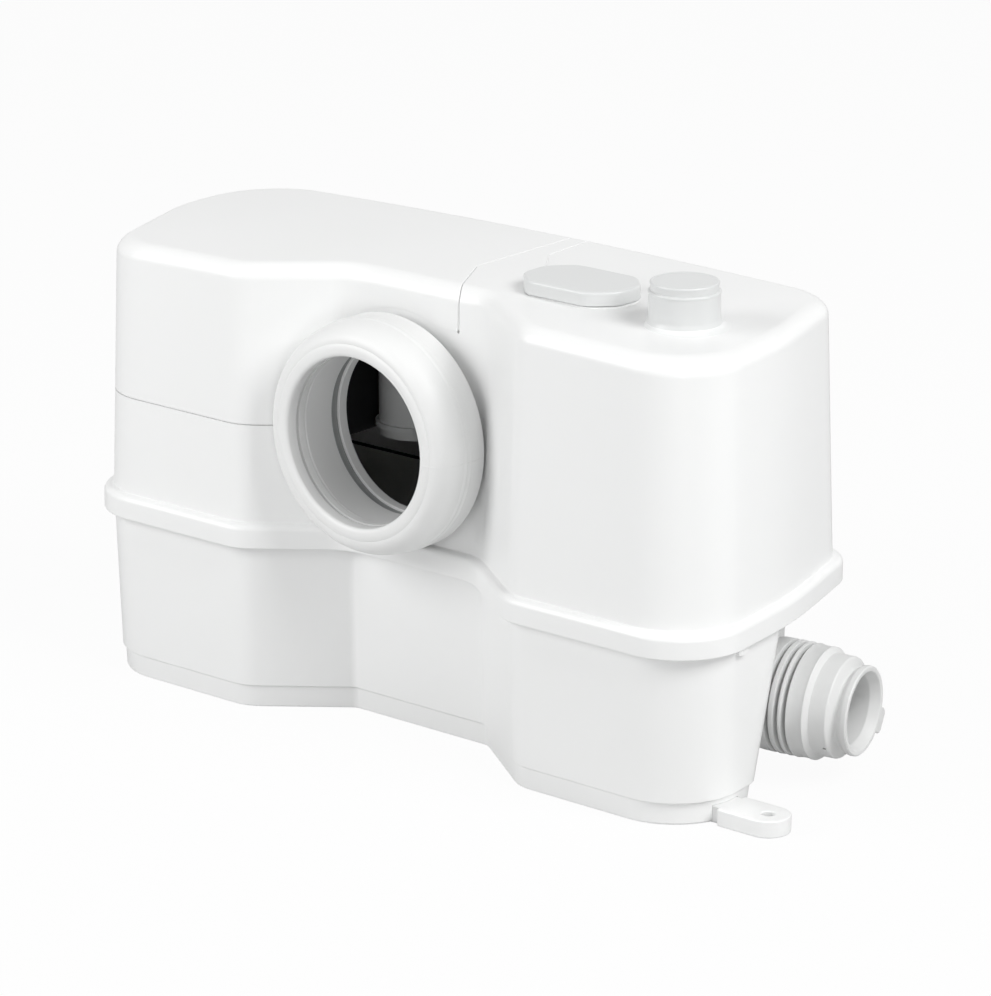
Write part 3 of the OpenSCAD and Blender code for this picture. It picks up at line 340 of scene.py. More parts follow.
def corner(plan, k):
    """Start, centre and turn of the arc that rounds one corner."""
    p = Vector(plan[k][:2])
    a = (p - Vector(plan[k - 1][:2])).normalized()
    b = (Vector(plan[(k + 1) % len(plan)][:2]) - p).normalized()
    angle = math.atan2(a.x * b.y - a.y * b.x, a.dot(b))
    start = p - a * plan[k][2] * math.tan(abs(angle) / 2)
    centre = start + Vector((-a.y, a.x)) * math.copysign(plan[k][2], angle)
    return start, centre, angle


def on_arc(start, centre, angle):
    """The point of an arc at an angle from its start."""
    v = start - centre
    c, s = math.cos(angle), math.sin(angle)
    return centre + Vector((v.x * c - v.y * s, v.x * s + v.y * c))


def counts(plan):
    """How many steps each corner's arc and each side after it gets."""
    arcs, sides = [], []
    for k in range(len(plan)):
        start, centre, angle = corner(plan, k)
        arcs.append(max(3, round(abs(angle) * min(plan[k][2], arc_limit) / arc_pitch)))
        nxt = corner(plan, (k + 1) % len(plan))[0]
        sides.append(max(1, round((nxt - on_arc(start, centre, angle)).length / side_pitch)))
    return arcs, sides


def outline(plan, d, steps):
    """Points of the plan set back by d, with the given steps."""
    moved = set_back(plan, d)
    points = []
    for k in range(len(moved)):
        start, centre, angle = corner(moved, k)
        arc = [on_arc(start, centre, angle * i / steps[0][k]) for i in range(steps[0][k] + 1)]
        points += arc
        nxt = corner(moved, (k + 1) % len(moved))[0]
        points += [arc[-1].lerp(nxt, i / steps[1][k]) for i in range(1, steps[1][k])]
    return points


body_steps = counts(body_plan)
print("the body's outline has", len(outline(body_plan, 0, body_steps)), "points")

# %% [markdown]
# ## Tools for shells
# A shell is made as by hand: a circle with the outline's count of points is laid on the first ring, its
# edge is extruded once for each further ring, and the ends are filled. Cuts are Boolean modifiers that
# are applied at once. They can leave slivers and pin holes, which a mend closes. Smooth shading by angle
# and weighted normals keep the big faces flat.

# %% Helpers that model by operators
def only(piece):
    """Makes a piece the one selected and active object."""
    bpy.ops.object.select_all(action="DESELECT")
    piece.select_set(True)
    bpy.context.view_layer.objects.active = piece


def key(p):
    """A point as a rounded tuple, to find it again."""
    return (round(p[0], 7), round(p[1], 7), round(p[2], 7))


def loft(name, rings):
    """Extrudes a closed ring through all the given rings, in millimetres, and fills its ends."""
    bpy.ops.object.select_all(action="DESELECT")
    bpy.ops.mesh.primitive_circle_add(vertices=len(rings[0]), radius=0.1)
    piece = bpy.context.object
    piece.name = name
    piece.data.name = name
    for v, p in zip(piece.data.vertices, rings[0]):
        v.co = Vector(p) * MM
    bpy.ops.object.mode_set(mode="EDIT")
    bpy.ops.mesh.select_all(action="SELECT")
    bpy.ops.mesh.edge_face_add()
    mesh = bmesh.from_edit_mesh(piece.data)
    for f in mesh.faces:
        f.select = False
    for e in mesh.edges:
        e.select = True
    bmesh.update_edit_mesh(piece.data)
    for before, after in zip(rings, rings[1:]):
        bpy.ops.mesh.extrude_edges_move()
        mesh = bmesh.from_edit_mesh(piece.data)
        where = {key(Vector(p) * MM): k for k, p in enumerate(before)}
        for v in mesh.verts:
            if v.select:
                v.co = Vector(after[where[key(v.co)]]) * MM
        bmesh.update_edit_mesh(piece.data)
    bpy.ops.mesh.edge_face_add()
    bpy.ops.mesh.select_all(action="SELECT")
    bpy.ops.mesh.normals_make_consistent(inside=False)
    bpy.ops.object.mode_set(mode="OBJECT")
    return piece


def cut(piece, tool, operation="DIFFERENCE"):
    """Applies a Boolean with a tool, and throws the tool away."""
    only(piece)
    change = piece.modifiers.new("cut", "BOOLEAN")
    change.operation = operation
    change.solver = "EXACT"
    change.object = tool
    bpy.ops.object.modifier_apply(modifier=change.name)
    bpy.data.objects.remove(tool, do_unlink=True)
    return piece


def smooth(piece, degrees=28.0):
    """Smooth shading up to an angle, with normals that follow the larger faces."""
    only(piece)
    bpy.ops.object.shade_smooth_by_angle(angle=math.radians(degrees))
    weight = piece.modifiers.new("weight", "WEIGHTED_NORMAL")
    weight.keep_sharp = True
    bpy.ops.object.modifier_apply(modifier=weight.name)


def mend(piece):
    """Drops slivers and loose edges that cuts leave, and closes the pin holes."""
    only(piece)
    bpy.ops.object.mode_set(mode="EDIT")
    bpy.ops.mesh.select_mode(type="VERT")
    bpy.ops.mesh.select_all(action="SELECT")
    bpy.ops.mesh.remove_doubles(threshold=WELD)
    bpy.ops.mesh.dissolve_degenerate(threshold=WELD)
    bpy.ops.mesh.delete_loose()
    bpy.ops.mesh.select_all(action="SELECT")
    bpy.ops.mesh.fill_holes(sides=0)
    bpy.ops.mesh.select_all(action="SELECT")
    bpy.ops.mesh.normals_make_consistent(inside=False)
    bpy.ops.object.mode_set(mode="OBJECT")


def dress(piece, finish, body, slot, *nodes):
    """Gives a piece its finish and its body, and hides the nodes that it stands for. The slot is not used.
    """
    piece.data.materials.clear()
    piece.data.materials.append(finish)
    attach(piece, body)
    if nodes:
        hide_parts(*nodes)
    print(piece.name, len(piece.data.polygons), "faces, rides on", body)


def rod(place, radius, low, high, axis, steps=96):
    """A plain round cutting tool along an axis through a place, in millimetres."""
    bpy.ops.object.select_all(action="DESELECT")
    along = Vector(axis).normalized()
    middle = Vector(place) + along * (low + high) / 2
    facing = along.to_track_quat("Z", "Y").to_euler()
    bpy.ops.mesh.primitive_cylinder_add(vertices=steps, radius=radius * MM, depth=(high - low) * MM,
                                        location=middle * MM, rotation=facing)
    bpy.ops.object.transform_apply(location=True, rotation=True, scale=True)
    return bpy.context.object


def prism(points, low, high):
    """A cutting tool of a flat outline between two heights, in millimetres."""
    return loft("tool", [[(p[0], p[1], low) for p in points], [(p[0], p[1], high) for p in points]])


# %% [markdown]
# ## Lid and cover as one shell
# The lid and the motor cover are moulded to one continuous shape, so they are made together and parted
# afterwards, as the real pattern would be. The rings climb from the skirt over the rounded flange, up the
# drafted wall and over the rounded top edge. The top is filled and bisected into strips, so that
# it follows its crown.

# %% Sizes of the shells, in millimetres
skirt_z, rim_z, gasket_h, flange_z, top_z = 100.5, 108.0, 2.0, 115.0, 264.5
crown, crown_w, top_r, flange_r, wall, lip = 5.5, 255.0, 10.0, 4.0, 3.5, 5.0
lid_draft, tank_draft, base_h, base_step, floor_t = 4.0, 2.5, 14.0, 1.5, 4.0
wall_top_z = top_z - top_r
lid_floor_z = rim_z + gasket_h + 3.0


def crown_at(x):
    """How far the top rises at a place along the length."""
    return crown * (1 - (x / crown_w) ** 2)


def wall_in(z):
    """How far the drafted wall stands behind the flange's face at a height."""
    return lip + lid_draft * (z - flange_z) / (wall_top_z - flange_z)


def lid_ring(z, d, share=0.0):
    """The body's outline at a height, set back by d, with a share of the crown."""
    return [(p.x, p.y, z + share * crown_at(p.x)) for p in outline(body_plan, d, body_steps)]


# %% Outer form of lid and cover
angles = [math.radians(90 * k / 10) for k in range(11)]
skirt_ease = [(0, 0.9), (0.3, 0.3), (0.9, 0)]
root_ease = [(0.15, 0.6), (0.5, 0.2), (1.2, 0)]
mid_z = 173.0
rings = [lid_ring(skirt_z + up, d) for up, d in skirt_ease]
rings += [lid_ring(flange_z - flange_r * (1 - math.sin(a)), flange_r * (1 - math.cos(a)))
          for a in angles[::2]]
rings += [lid_ring(flange_z + up, lip - out) for up, out in root_ease]
rings += [lid_ring(mid_z, wall_in(mid_z))]
rings += [lid_ring(wall_top_z + top_r * math.sin(a), lip + lid_draft + top_r * (1 - math.cos(a)), 1)
          for a in angles]
upper = loft("upper_shell", rings)
strip_low, strip_high, strip_pitch, top_zone = -252, 240, 12, 250.0


def strip_top(piece):
    """Cuts the filled top into strips across the width, so that it follows the crown."""
    only(piece)
    bpy.ops.object.mode_set(mode="EDIT")
    bpy.ops.mesh.select_mode(type="FACE")
    for x in range(strip_low, strip_high, strip_pitch):
        bpy.ops.mesh.select_all(action="DESELECT")
        mesh = bmesh.from_edit_mesh(piece.data)
        for f in mesh.faces:
            f.select = len(f.verts) > 4 and f.normal.z > 0.9 and f.calc_center_median().z > top_zone * MM
        bmesh.update_edit_mesh(piece.data)
        bpy.ops.mesh.bisect(plane_co=(x * MM, 0, 0), plane_no=(1, 0, 0))
    bpy.ops.object.mode_set(mode="OBJECT")


strip_top(upper)
print("upper shell outside:", len(upper.data.polygons), "faces")

# %% [markdown]
# ## Eased parting line
# On the real cover, the edges of the parting line on the top are rounded and catch the light as one fine
# bright line. A shallow V is swept along the line, up the front wall, across the top and down the back,
# and cut out before the shells are parted, so that both get one eased edge. A pin hole ends the line.

# %% Groove along the parting line
inlet = Vector((-17.0, -56.5, 180.0))
split_z, split_front_z, split_front_y = 173.5, 244.0, -47.0
split_x, split_front_x, split_bend_y = 3.0, 26.0, -5.0
waist_y, back_y = -57.0, 97.0
slot_w, pin_r, pin_deep = 0.35, 0.9, 13
run_front_y, run_back_y, wall_to = -28, 40, 250
far = 200


def split_edge(g):
    """The parting line in plan, from front to back, moved right by g."""
    return [(split_front_x + g, -far), (split_front_x + g, split_front_y), (split_x + g, split_bend_y),
            (split_x + g, far)]


def split_at(y):
    """Where the cover's right edge runs at a place between front and back."""
    share = (y - split_front_y) / (split_bend_y - split_front_y)
    return split_front_x + (split_x - split_front_x) * min(max(share, 0), 1)


def edge_path(wall_y, side, low):
    """Points and normals up a wall and over the top edge; side is -1 at the front and 1 at the back."""
    path = [((wall_y - side * wall_in(z), z), (side, 0)) for z in (low, wall_to)]
    for a in angles:
        d = lip + lid_draft + top_r * (1 - math.cos(a))
        z = wall_top_z + top_r * math.sin(a) + crown
        path.append(((wall_y - side * d, z), (side * math.cos(a), math.sin(a))))
    return path


def vee(place, normal, half=0.75, depth=0.75, over=0.4):
    """Three corners of the groove's section at a place on the surface."""
    (y, z), (ny, nz) = place, normal
    x = split_at(y) - slot_w / 2
    reach = half * (1 + over / depth)
    return [(x + reach, y + ny * over, z + nz * over), (x, y - ny * depth, z - nz * depth),
            (x - reach, y + ny * over, z + nz * over)]


top_run = [((y, top_z + crown), (0, 1)) for y in (run_front_y, split_bend_y, run_back_y)]
front_run = edge_path(waist_y, -1, split_front_z + 0.3)
back_run = edge_path(back_y, 1, split_z + 0.5)[::-1]
path = front_run + top_run + back_run
cut(upper, loft("groove", [vee(p, n) for p, n in path]))
pin_at = (split_front_x - slot_w / 2, waist_y, split_front_z)
cut(upper, rod(pin_at, pin_r, -pin_deep, 0, (0, -1, 0), 24))
print("groove of", len(path), "steps; upper shell", len(upper.data.polygons), "faces")

# %% [markdown]
# The inside follows the same plan one wall further in. The seat behind the sleeve and the bulkhead beside
# the cover are left standing by taking them out of the inner space before it is cut from the outside.

# %% Inside of lid and cover
pocket_r, seat_r, seat_t = 69.9, 55.1, 10.0
front_shelf = -inlet.y - seat_t
bulk_gap, bulk_t, bulk_drop, bore_reach = 0.4, 3.0, 8, 97
inner_angles = [math.radians(15 * k) for k in range(7)]


def inset_form(name, low, d):
    """The space inside the lid's outer form, a distance d behind its skin, from a height upwards."""
    r = top_r - d
    base = lip + d + lid_draft * (low - flange_z) / (wall_top_z - flange_z)
    wall_back = lip + lid_draft + d
    form = loft(name, [lid_ring(low, base)] + [
        lid_ring(wall_top_z + r * math.sin(a), wall_back + r * (1 - math.cos(a)), 1) for a in inner_angles])
    strip_top(form)
    return form


inside = inset_form("inside", lid_floor_z, wall)
cut(inside, rod(inlet, pocket_r + wall, -seat_t, bore_reach, (0, -1, 0)))
bulk = split_edge(bulk_gap) + split_edge(bulk_gap + bulk_t)[::-1]
cut(inside, prism(bulk, split_front_z - bulk_drop, 300))
cut(upper, inside)
skirt_inside = [tuple(p) for p in outline(body_plan, lip - 1, body_steps)]
cut(upper, prism(skirt_inside, skirt_z - 5, rim_z + gasket_h))
print("upper shell hollow:", len(upper.data.polygons), "faces")

# %% [markdown]
# ## Tank
# The tank sits inside the lid's skirt. Its outline is the body's, set back by the lip, but the corners of
# the waist are almost sharp and the back right is notched for the outlet. Because the notch leans, the
# outline is worked out anew at each height. A shallow base band runs round the foot of the wall.

# %% Tank outline
port = Vector((175.0, 26.0, 46.0))
port_yaw, port_droop = math.radians(12), math.radians(2)
port_axis = Vector((math.cos(port_yaw) * math.cos(port_droop), math.sin(port_yaw) * math.cos(port_droop),
                    -math.sin(port_droop)))
notch_low_y, notch_rise, notch_lean, notch_back_y = -14, 23, 5, 92
waist_r, notch_r, notch_deep_r, notch_back_r, least_r = 8, 12, 14, 16, 4


def port_wall(y):
    """Where the wall that carries the outlet stands at a place between front and back."""
    return port.x - (y - port.y) * math.tan(port_yaw)


def tank_plan(share):
    """Corners of the tank's outline; share runs from 0 at the base band to 1 at the rim."""
    plan = set_back(body_plan, lip)
    y = notch_low_y + notch_rise * share
    a, b = plan[7], plan[8]
    x = a[0] + (b[0] - a[0]) * (y - a[1]) / (b[1] - a[1])
    kept = [(p[0], p[1], waist_r if k in (4, 5) else p[2]) for k, p in enumerate(plan[:8])]
    deep_y = y - notch_lean
    return kept + [(x, y, notch_r), (port_wall(deep_y), deep_y, notch_deep_r),
                   (port_wall(notch_back_y), notch_back_y, notch_back_r)]


tank_steps = counts(tank_plan(1))


def tank_ring(z, d, trim=0.0):
    """The tank's outline at a height, set back by d, with its corner radii trimmed."""
    share = (z - base_h) / (rim_z - base_h)
    plan = [(x, y, max(r - trim, least_r)) for x, y, r in tank_plan(share)]
    return [(p.x, p.y, z) for p in outline(plan, d + tank_draft * (1 - share), tank_steps)]


def room_ring(z, d):
    """A ring of the tank's inner space, with corners that keep the wall even."""
    return tank_ring(z, d, d)


print("the tank's outline has", len(tank_ring(0, 0)), "points")


# %% Tank shell
feet = {"foot_left": (-278.1843, 45.0, -1), "foot_right": (251.4627, -51.0, 1)}
boss_in, boss_out, boss_half, boss_low, boss_top = -38.5, -25.5, 14, 0.5, 13.7
clip_in, clip_out, clip_half = -35, 9, 10.2
port_boss_r, port_boss_half, port_bore_r, port_reach = 31, 6.5, 24.4, 30


def at_foot(foot, points):
    """Points given from a foot's hole, with x away from the tank, in the part's plan."""
    x, y, side = feet[foot]
    return [(x + side * p[0], y + p[1]) for p in points]


floor_ease = [(0, 1.5), (0.45, 0.45), (1.5, 0)]
rings = [tank_ring(z, base_step + d) for z, d in floor_ease]
rings += [tank_ring(base_h - base_step, base_step), tank_ring(base_h - 0.7, base_step - 0.3)]
rings += [tank_ring(base_h, 0.1), tank_ring(base_h + 0.5, 0)]
rings += [tank_ring(z, 0) for z in (45, 76, rim_z)]
tank = loft("tank_shell", rings)
room_in = wall + base_step
room_ease = [(0, 6), (1.8, 1.8), (6, 0)]
room = loft("room", [room_ring(floor_t + up, room_in + d) for up, d in room_ease]
            + [room_ring(base_h, room_in), room_ring(rim_z + 3, wall)])
for foot in feet:
    boss = [(boss_in, -boss_half), (boss_out, -boss_half), (boss_out, boss_half), (boss_in, boss_half)]
    cut(room, prism(at_foot(foot, boss), boss_low, boss_top))
cut(room, rod(port, port_boss_r, -port_boss_half, port_boss_half, port_axis))
cut(tank, room)
for foot in feet:
    clip = [(clip_in, -clip_half), (clip_out, -clip_half), (clip_out, clip_half), (clip_in, clip_half)]
    cut(tank, prism(at_foot(foot, clip), -1, clip_half))
cut(tank, rod(port, port_bore_r, -port_reach, port_reach, port_axis))
smooth(tank)
dress(tank, shell_white, "housing", "white_plastic", "tank")

# %% [markdown]
# ## Parting the lid from the motor cover
# The cover's space is a block bounded by the parting line. Each shell is a copy of the upper shell: the
# lid loses the whole block, and the cover keeps the block shrunk by the width of the gap. A thin white
# strip lies a little way down in the gap, as the tongue of the real lid does, so it isn't a black slot.

# %% Openings of the upper shell
rim = [(p[0], p[1]) for p in tank_ring(rim_z, wall)]
cut(upper, prism(rim, rim_z - 4, lid_floor_z + 1))
cut(upper, rod(inlet, pocket_r, 0, bore_reach, (0, -1, 0)))
cut(upper, rod(inlet, seat_r, -30, 30, (0, -1, 0)))
print("upper shell open:", len(upper.data.polygons), "faces")


# %% Part the shells
below_w, near_w, shelf_x = 0.8, 0.06, 180
strip_gap, strip_near, strip_thin, strip_deep, strip_low_z = 0.03, 0.5, 0.05, 1.2, 150


def cover_block(beside, below, near):
    """The cover's space, shrunk at its right edge, at its lower edge and round the sleeve."""
    block = prism([(-2 * far, -far)] + split_edge(-beside) + [(-2 * far, far)], split_z + below, 2 * far)
    cut(block, rod(inlet, pocket_r + near, -40, 160, (0, -1, 0)))
    shelf_y = -front_shelf + 0.2 * near
    shelf = [(inlet.x, -far), (shelf_x, -far), (shelf_x, shelf_y), (inlet.x, shelf_y)]
    return cut(block, prism(shelf, 0, split_front_z + near))


def twin(piece, name):
    """A copy with its own mesh."""
    copy = piece.copy()
    copy.data = piece.data.copy()
    copy.name = name
    copy.data.name = name
    bpy.context.scene.collection.objects.link(copy)
    return copy


cover = twin(upper, "cover_shell")
cut(cover, cover_block(slot_w, below_w, near_w), "INTERSECT")
strip = twin(upper, "parting_strip")
cut(strip, cover_block(strip_gap, strip_gap, strip_near), "INTERSECT")
cut(strip, cover_block(slot_w - strip_thin, below_w - strip_thin, 0.0))
cut(strip, inset_form("core", strip_low_z, strip_deep), "INTERSECT")
upper.name = "lid_shell"
upper.data.name = "lid_shell"
cut(upper, cover_block(0, 0, 0))
for piece in (upper, cover, strip):
    mend(piece)
    smooth(piece)
dress(upper, shell_white, "housing", "white_plastic", "lid")
dress(cover, shell_white, "cover", "white_plastic", "motor_cover")
dress(strip, shell_white, "housing", "white_plastic")


# %% Fine bead behind the vent cap
def bead(x, place, normal, half=0.55, high=0.3):
    """Four corners of a low bead's section at a place on the surface."""
    (y, z), (ny, nz) = place, normal
    corners = [(1, -1), (0.4, 1), (-0.4, 1), (-1, -1)]
    return [(x + s * half, y + ny * h * high, z + nz * h * high) for s, h in corners]


bead_x, bead_turns = 14.8, [(18.1, 40.9), (29.0, 26.1), (33.5, 20.0)]
over_edge = edge_path(back_y, 1, split_z)[6:]
sections = [bead(bead_x, p, n) for p, n in over_edge]
sections += [bead(x, (y, top_z + crown_at(x)), (0, 1)) for x, y in bead_turns]
line = loft("lid_bead", sections)
smooth(line)
dress(line, shell_white, "housing", "white_plastic")

# %% [markdown]
# ## Turned pieces
# The sleeve, the collar inside it, the stub with its plug and the outlet adaptor are all round. Each is
# drawn as a closed half section on a ring of points and spun a full turn about its axis.

# %% Spin a section
def turned(name, section, place, axis, steps=128):
    """Spins a closed section of (radius, distance along the axis), in millimetres."""
    along = Vector(axis).normalized()
    across = along.orthogonal().normalized()
    bpy.ops.object.select_all(action="DESELECT")
    bpy.ops.mesh.primitive_circle_add(vertices=len(section), radius=0.1)
    piece = bpy.context.object
    piece.name = name
    piece.data.name = name
    for v, (r, t) in zip(piece.data.vertices, section):
        v.co = (Vector(place) + across * r + along * t) * MM
    bpy.ops.object.mode_set(mode="EDIT")
    bpy.ops.mesh.select_all(action="SELECT")
    bpy.ops.mesh.spin(steps=steps, angle=2 * math.pi, center=Vector(place) * MM, axis=along)
    bpy.ops.mesh.select_all(action="SELECT")
    bpy.ops.mesh.remove_doubles(threshold=WELD)
    bpy.ops.mesh.normals_make_consistent(inside=False)
    bpy.ops.object.mode_set(mode="OBJECT")
    return piece


# %% Rubber sleeve
crease_r, crease_t, dome_r, dome_t, dome_power = 58.2, 34.3, 68.5, 17.0, 0.92
seam_z, seam_t, seam_in, seam_out = 176.7, 0.5, 48, 72
seam_front_y, seam_back_y, seam_skin = -95, -58, 0.22


def sleeve_section(skin=0.0):
    """Half section of the sleeve; its outside may stand out by a skin."""
    outside = [(68.9, 0.2), (69.2, 0.6), (69.2, 10.9), (69.4, 11.4), (69.4, 12.0), (69.0, 12.6)]
    outside += [(69.0, 14.4), (69.2, 14.9), (69.1, 15.6), (68.7, 16.3)]
    for k in range(13):
        a = math.radians(90 * k / 12)
        outside.append((crease_r + (dome_r - crease_r) * math.cos(a),
                        dome_t + (crease_t - dome_t) * math.sin(a) ** dome_power))
    outside += [(57.7, 34.2), (57.2, 34.5), (56.2, 35.0), (54.6, 35.2), (52.6, 35.2), (51.2, 34.8)]
    outside += [(50.4, 34.0)]
    inside = [(50.0, 33.0), (50.0, 27.0), (53.2, 26.8), (53.2, 25.2), (49.8, 25.0), (49.8, 20.0)]
    inside += [(55.2, 18.6), (55.2, 0.2)]
    return [(r + skin * (t > 0.3), t + skin * (t > 30)) for r, t in outside] + inside


sleeve = turned("sleeve_rubber", sleeve_section(), inlet, (0, -1, 0), 160)
seam = turned("seam", sleeve_section(seam_skin), inlet, (0, -1, 0), 160)
seam_plan = [(inlet.x + seam_in, seam_front_y), (inlet.x + seam_out, seam_front_y),
             (inlet.x + seam_out, seam_back_y), (inlet.x + seam_in, seam_back_y)]
cut(seam, prism(seam_plan, seam_z, seam_z + seam_t), "INTERSECT")
cut(sleeve, seam, "UNION")
smooth(sleeve, 35)
dress(sleeve, sleeve_rubber, "housing", "pale_rubber", "inlet_sleeve")

# %% Collar and seal inside the sleeve
section = [(51.0, 17.4), (51.6, 18.0), (54.4, 18.0), (55.0, 17.4), (55.0, -17.5), (51.2, -17.5)]
section += [(51.0, -17.2), (51.0, -11.3), (51.3, -11.0), (54.0, -11.0), (54.0, -4.6), (51.3, -4.6)]
section += [(51.0, -4.3)]
collar = turned("inlet_collar", section, inlet, (0, -1, 0), 160)
smooth(collar, 35)
dress(collar, shell_white, "housing", "white_plastic")
section = [(52.6, -10.9), (53.9, -10.9), (53.9, -4.7), (52.6, -4.7), (52.0, -6.0), (52.4, -7.8)]
section += [(52.0, -9.6)]
seal = turned("inlet_seal", section, inlet, (0, -1, 0), 128)
smooth(seal, 35)
dress(seal, inner_grey, "housing", "grey_plastic")

# %% Outlet adaptor
groove_places = (28.7, 34.5, 39.4)
section = [(24.2, 17.0), (30.2, 17.0), (31.6, 17.5), (32.4, 18.8), (32.6, 21.0)]
for t in groove_places:
    section += [(32.7, t - 1.9), (32.4, t - 1.35), (31.6, t - 1.05), (27.2, t - 0.9), (27.0, t)]
    section += [(27.2, t + 0.9), (31.6, t + 1.05), (32.4, t + 1.35), (32.8, t + 1.9)]
section += [(32.5, 42.6), (32.2, 45.0), (32.2, 49.4), (32.6, 50.2), (32.6, 51.0), (32.0, 51.8)]
section += [(30.2, 52.8), (29.5, 53.6), (29.4, 63.2), (29.1, 64.0), (28.3, 64.6), (24.4, 66.2)]
section += [(23.4, 66.9), (23.2, 67.8), (23.6, 68.8), (24.9, 70.0), (25.8, 71.2), (26.0, 72.4)]
section += [(25.9, 74.3), (25.3, 75.0), (23.4, 75.0), (22.6, 74.5), (20.4, 69.6), (20.0, 68.6)]
section += [(20.0, 58.0), (24.2, 43.0)]
adaptor = turned("adaptor_rubber", section, port, port_axis, 128)
port_side = Vector((-math.sin(port_yaw), math.cos(port_yaw), 0))
port_up = port_axis.cross(port_side)
port_down = port_up * math.copysign(1, port_up.z) * -1
tab_turn, dot_turn, dot_t, dot_r = 62, 306.5, 62.0, 1.1
dot_low, dot_high = 26.8, 31


def at_port(along, out, turn, sideways=0.0):
    """A place round the adaptor: along its axis, out from it, at a turn from straight down."""
    a = math.radians(turn)
    ray = port_down * math.cos(a) + port_side * math.sin(a)
    across = port_side * math.cos(a) - port_down * math.sin(a)
    return port + port_axis * along + ray * out + across * sideways


tab_half = 7.5
tab = [(-tab_half, 23.5), (tab_half, 23.5), (tab_half, 31.0), (6.8, 32.8), (5.2, 33.8), (-5.2, 33.8)]
tab += [(-6.8, 32.8), (-tab_half, 31.0)]
tab_steps = [(71.6, 0.5), (72.1, 0.0), (73.6, 0.0), (74.1, 0.5)]
pull = loft("pull_tab", [
    [tuple(at_port(t, r - ease * (r > 30), tab_turn, w * (1 - ease / tab_half))) for w, r in tab]
    for t, ease in tab_steps])
cut(adaptor, pull, "UNION")
dot = at_port(dot_t, 0, 0)
cut(adaptor, rod(dot, dot_r, dot_low, dot_high, at_port(dot_t, 1, dot_turn) - dot, 20))
smooth(adaptor, 35)
dress(adaptor, adaptor_rubber, "housing", "pale_rubber", "outlet_adaptor")

# %% [markdown]
# ## Fittings on the top
# A shallow octagonal cap covers the vent, and a round stub with a plug stands beside it. The cap is a loft
# of its eight-cornered plan. Its pad belongs to the lid and has a low ledge and an opening for the filter.

# %% Vent cap and pad
cap_at = Vector((86.5, -12.5, 0))
cap_w, cap_d, cap_chop, cap_r = 71, 47, 14, 12
pad_z = top_z + crown_at(cap_at.x) - 2
ledge_gap, filter_gap = 0.35, 0.3


def eight(width, depth, chop, radius):
    """A rectangle with chopped corners, as corners with radii."""
    w, d = width / 2, depth / 2
    return [(x, y, radius) for x, y in ((-w + chop, -d), (w - chop, -d), (w, -d + chop), (w, d - chop),
                                        (w - chop, d), (-w + chop, d), (-w, d - chop), (-w, -d + chop))]


cap_plan = eight(cap_w, cap_d, cap_chop, cap_r)
cap_steps = counts(cap_plan)


def cap_ring(z, d):
    """The cap's outline at a height, set back by d."""
    return [(cap_at.x + p.x, cap_at.y + p.y, z) for p in outline(cap_plan, d, cap_steps)]


cap_low = top_z + crown_at(cap_at.x - cap_w / 2) + 0.4
cap_h, cap_ease, cap_draft = 8.1, 1.5, 0.2
rings = [cap_ring(cap_low + up, d) for up, d in [(0, 0.5), (0.15, 0.15), (0.5, 0)]]
rings += [cap_ring(cap_low + cap_h - cap_ease * (1 - math.sin(a)), cap_draft + cap_ease * (1 - math.cos(a)))
          for a in angles]
cap = loft("vent_lid", rings)
for inset, rise in ((3.0, 1.6), (7.0, 5.1)):
    cut(cap, prism(cap_ring(0, inset), cap_low - 1, cap_low + rise))
smooth(cap)
dress(cap, fitting_white, "cap", "white_plastic", "vent_cap")
ledge_z = cap_low - ledge_gap
pad = loft("vent_pad", [cap_ring(pad_z - 3.5, 0.7), cap_ring(ledge_z - 0.3, 0.7), cap_ring(ledge_z, 1.0),
                        cap_ring(ledge_z, 3.4), cap_ring(pad_z + 3.6, 3.4), cap_ring(pad_z + 4.0, 3.8)])
filter_low, filter_high = (Vector(p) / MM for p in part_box("vent_filter"))
window_x = (filter_low.x - filter_gap, filter_high.x + filter_gap)
window_y = (filter_low.y - filter_gap, filter_high.y + filter_gap)
window = [(window_x[i], window_y[j]) for i, j in ((0, 0), (1, 0), (1, 1), (0, 1))]
cut(pad, prism(window, pad_z - 8, pad_z + 8))
smooth(pad)
dress(pad, shell_white, "housing", "white_plastic")

# %% Round stub and its plug
stub_at = Vector((167.5, -22.5, 0))
stub_foot_z = top_z + crown_at(stub_at.x)
root_z = stub_foot_z + 2.0
bore_r, sink_z = 16.5, stub_foot_z - 6
section = [(bore_r, sink_z), (25.5, sink_z), (25.5, stub_foot_z - 0.9), (24.6, stub_foot_z - 0.35)]
section += [(23.2, stub_foot_z + 0.1), (21.9, stub_foot_z + 0.8), (21.0, root_z), (bore_r, root_z)]
root = turned("stub_root", section, stub_at, (0, 0, 1), 96)
smooth(root, 40)
# The foot's paler grey is partly painted light: it makes the stub lighter low down, where the light falls.
dress(root, fillet_white_and_painted_light, "housing", "white_plastic")
section = [(bore_r, root_z), (21.0, root_z), (20.4, stub_foot_z + 3.6), (20.1, stub_foot_z + 5.2)]
section += [(20.0, 285.8), (20.3, 286.3), (20.4, 287.0), (20.2, 287.6), (19.6, 288.0), (bore_r, 288.0)]
stub = turned("stub_wall", section, stub_at, (0, 0, 1), 96)
smooth(stub, 40)
dress(stub, fitting_white, "housing", "white_plastic")
section = [(0, 280), (16.3, 280), (16.3, 288), (19.0, 288), (19.0, 290.9), (19.3, 291.5)]
section += [(19.3, 292.2), (18.9, 292.8), (18.3, 293.0), (17.7, 292.8), (17.3, 292.5), (0, 292.5)]
plug = turned("stub_lid", section, stub_at, (0, 0, 1), 96)
mend(plug)
smooth(plug, 40)
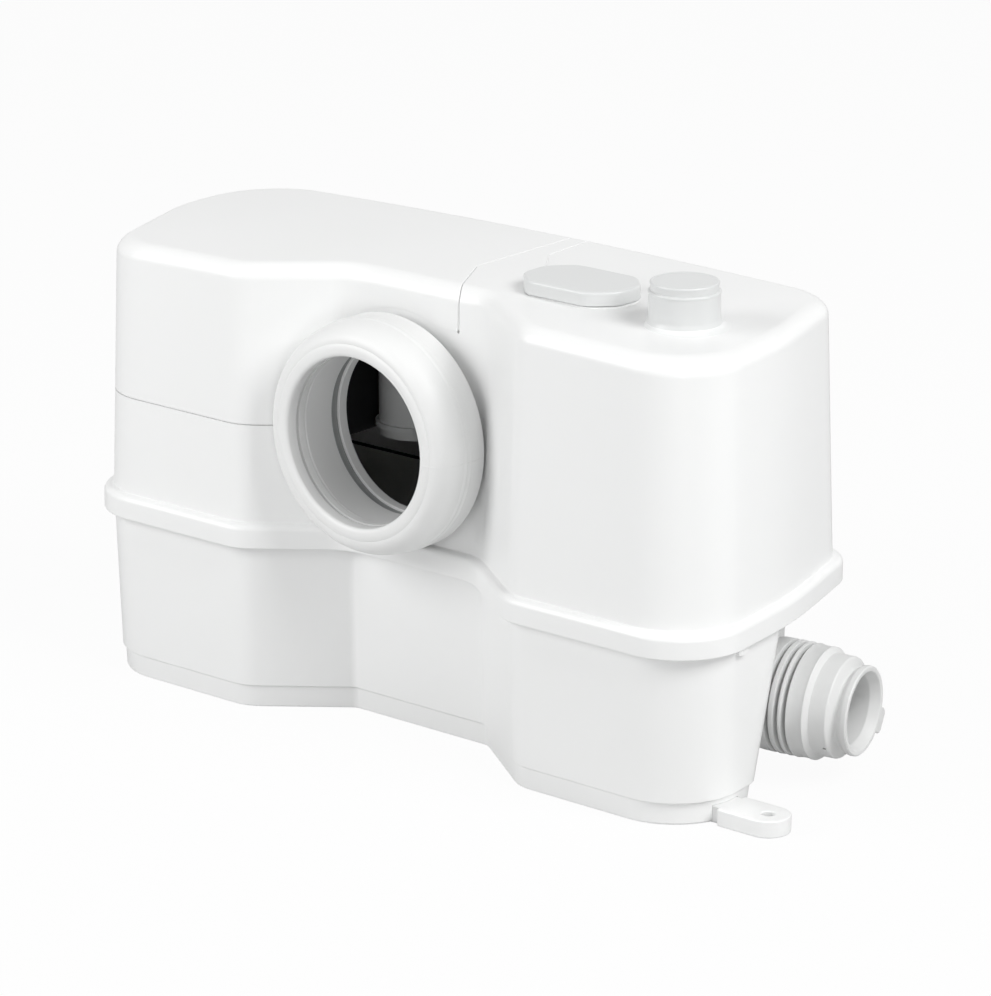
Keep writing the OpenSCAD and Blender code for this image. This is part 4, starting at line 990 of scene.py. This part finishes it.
dress(plug, fitting_white, "housing", "white_plastic", "stub_plug")

# %% [markdown]
# ## Feet and catch
# Two flat feet clip into the base and are screwed to the floor. Each is a slab with a round end, bored for
# its screw, with its sharp edges eased. A small catch stands under the skirt at the right end.

# %% Fixing feet
foot_r, foot_h, hole_r, foot_ease = 13, 10, 3.7, 0.9
shoulder, tongue, tongue_half = -25.8, -34.8, 10
turns = [math.radians(a) for a in range(-90, 91, 6)]
foot_plan = [(shoulder, -foot_r)] + [(foot_r * math.cos(a), foot_r * math.sin(a)) for a in turns]
foot_plan += [(shoulder, foot_r), (shoulder, tongue_half), (tongue, tongue_half), (tongue, -tongue_half)]
foot_plan += [(shoulder, -tongue_half)]
for label in feet:
    foot = prism(at_foot(label, foot_plan), 0, foot_h)
    foot.name = "fixing_" + label
    foot.data.name = foot.name
    hole = at_foot(label, [(0, 0)])[0]
    cut(foot, rod((*hole, 0), hole_r, -1, foot_h + 1, (0, 0, 1), 48))
    only(foot)
    ease = foot.modifiers.new("ease", "BEVEL")
    ease.width = foot_ease * MM
    ease.segments = 3
    ease.limit_method = "ANGLE"
    ease.angle_limit = math.radians(50)
    bpy.ops.object.modifier_apply(modifier=ease.name)
    smooth(foot, 40)
    dress(foot, shell_white, "housing", "white_plastic", label)

# %% Catch under the skirt
catch_at, catch_w, catch_low, catch_high = 52.0, 4.5, 96.4, 100.2


def beside_end(along, inwards):
    """A place on the right end's wall: along it from the catch, and inwards from the flange's face."""
    a, b = Vector(body_plan[7][:2]), Vector(body_plan[8][:2])
    run = (b - a).normalized()
    return a + run * (catch_at + along) + Vector((-run.y, run.x)) * inwards


catch_plan = [(-catch_w, 6.4), (-catch_w, 3.2), (-catch_w + 1.2, 2.0)]
catch_plan += [(catch_w - 1.2, 2.0), (catch_w, 3.2), (catch_w, 6.4)]
catch = prism([tuple(beside_end(*p)) for p in catch_plan], catch_low, catch_high)
catch.name = "skirt_catch"
catch.data.name = "skirt_catch"
smooth(catch)
dress(catch, shell_white, "housing", "white_plastic")
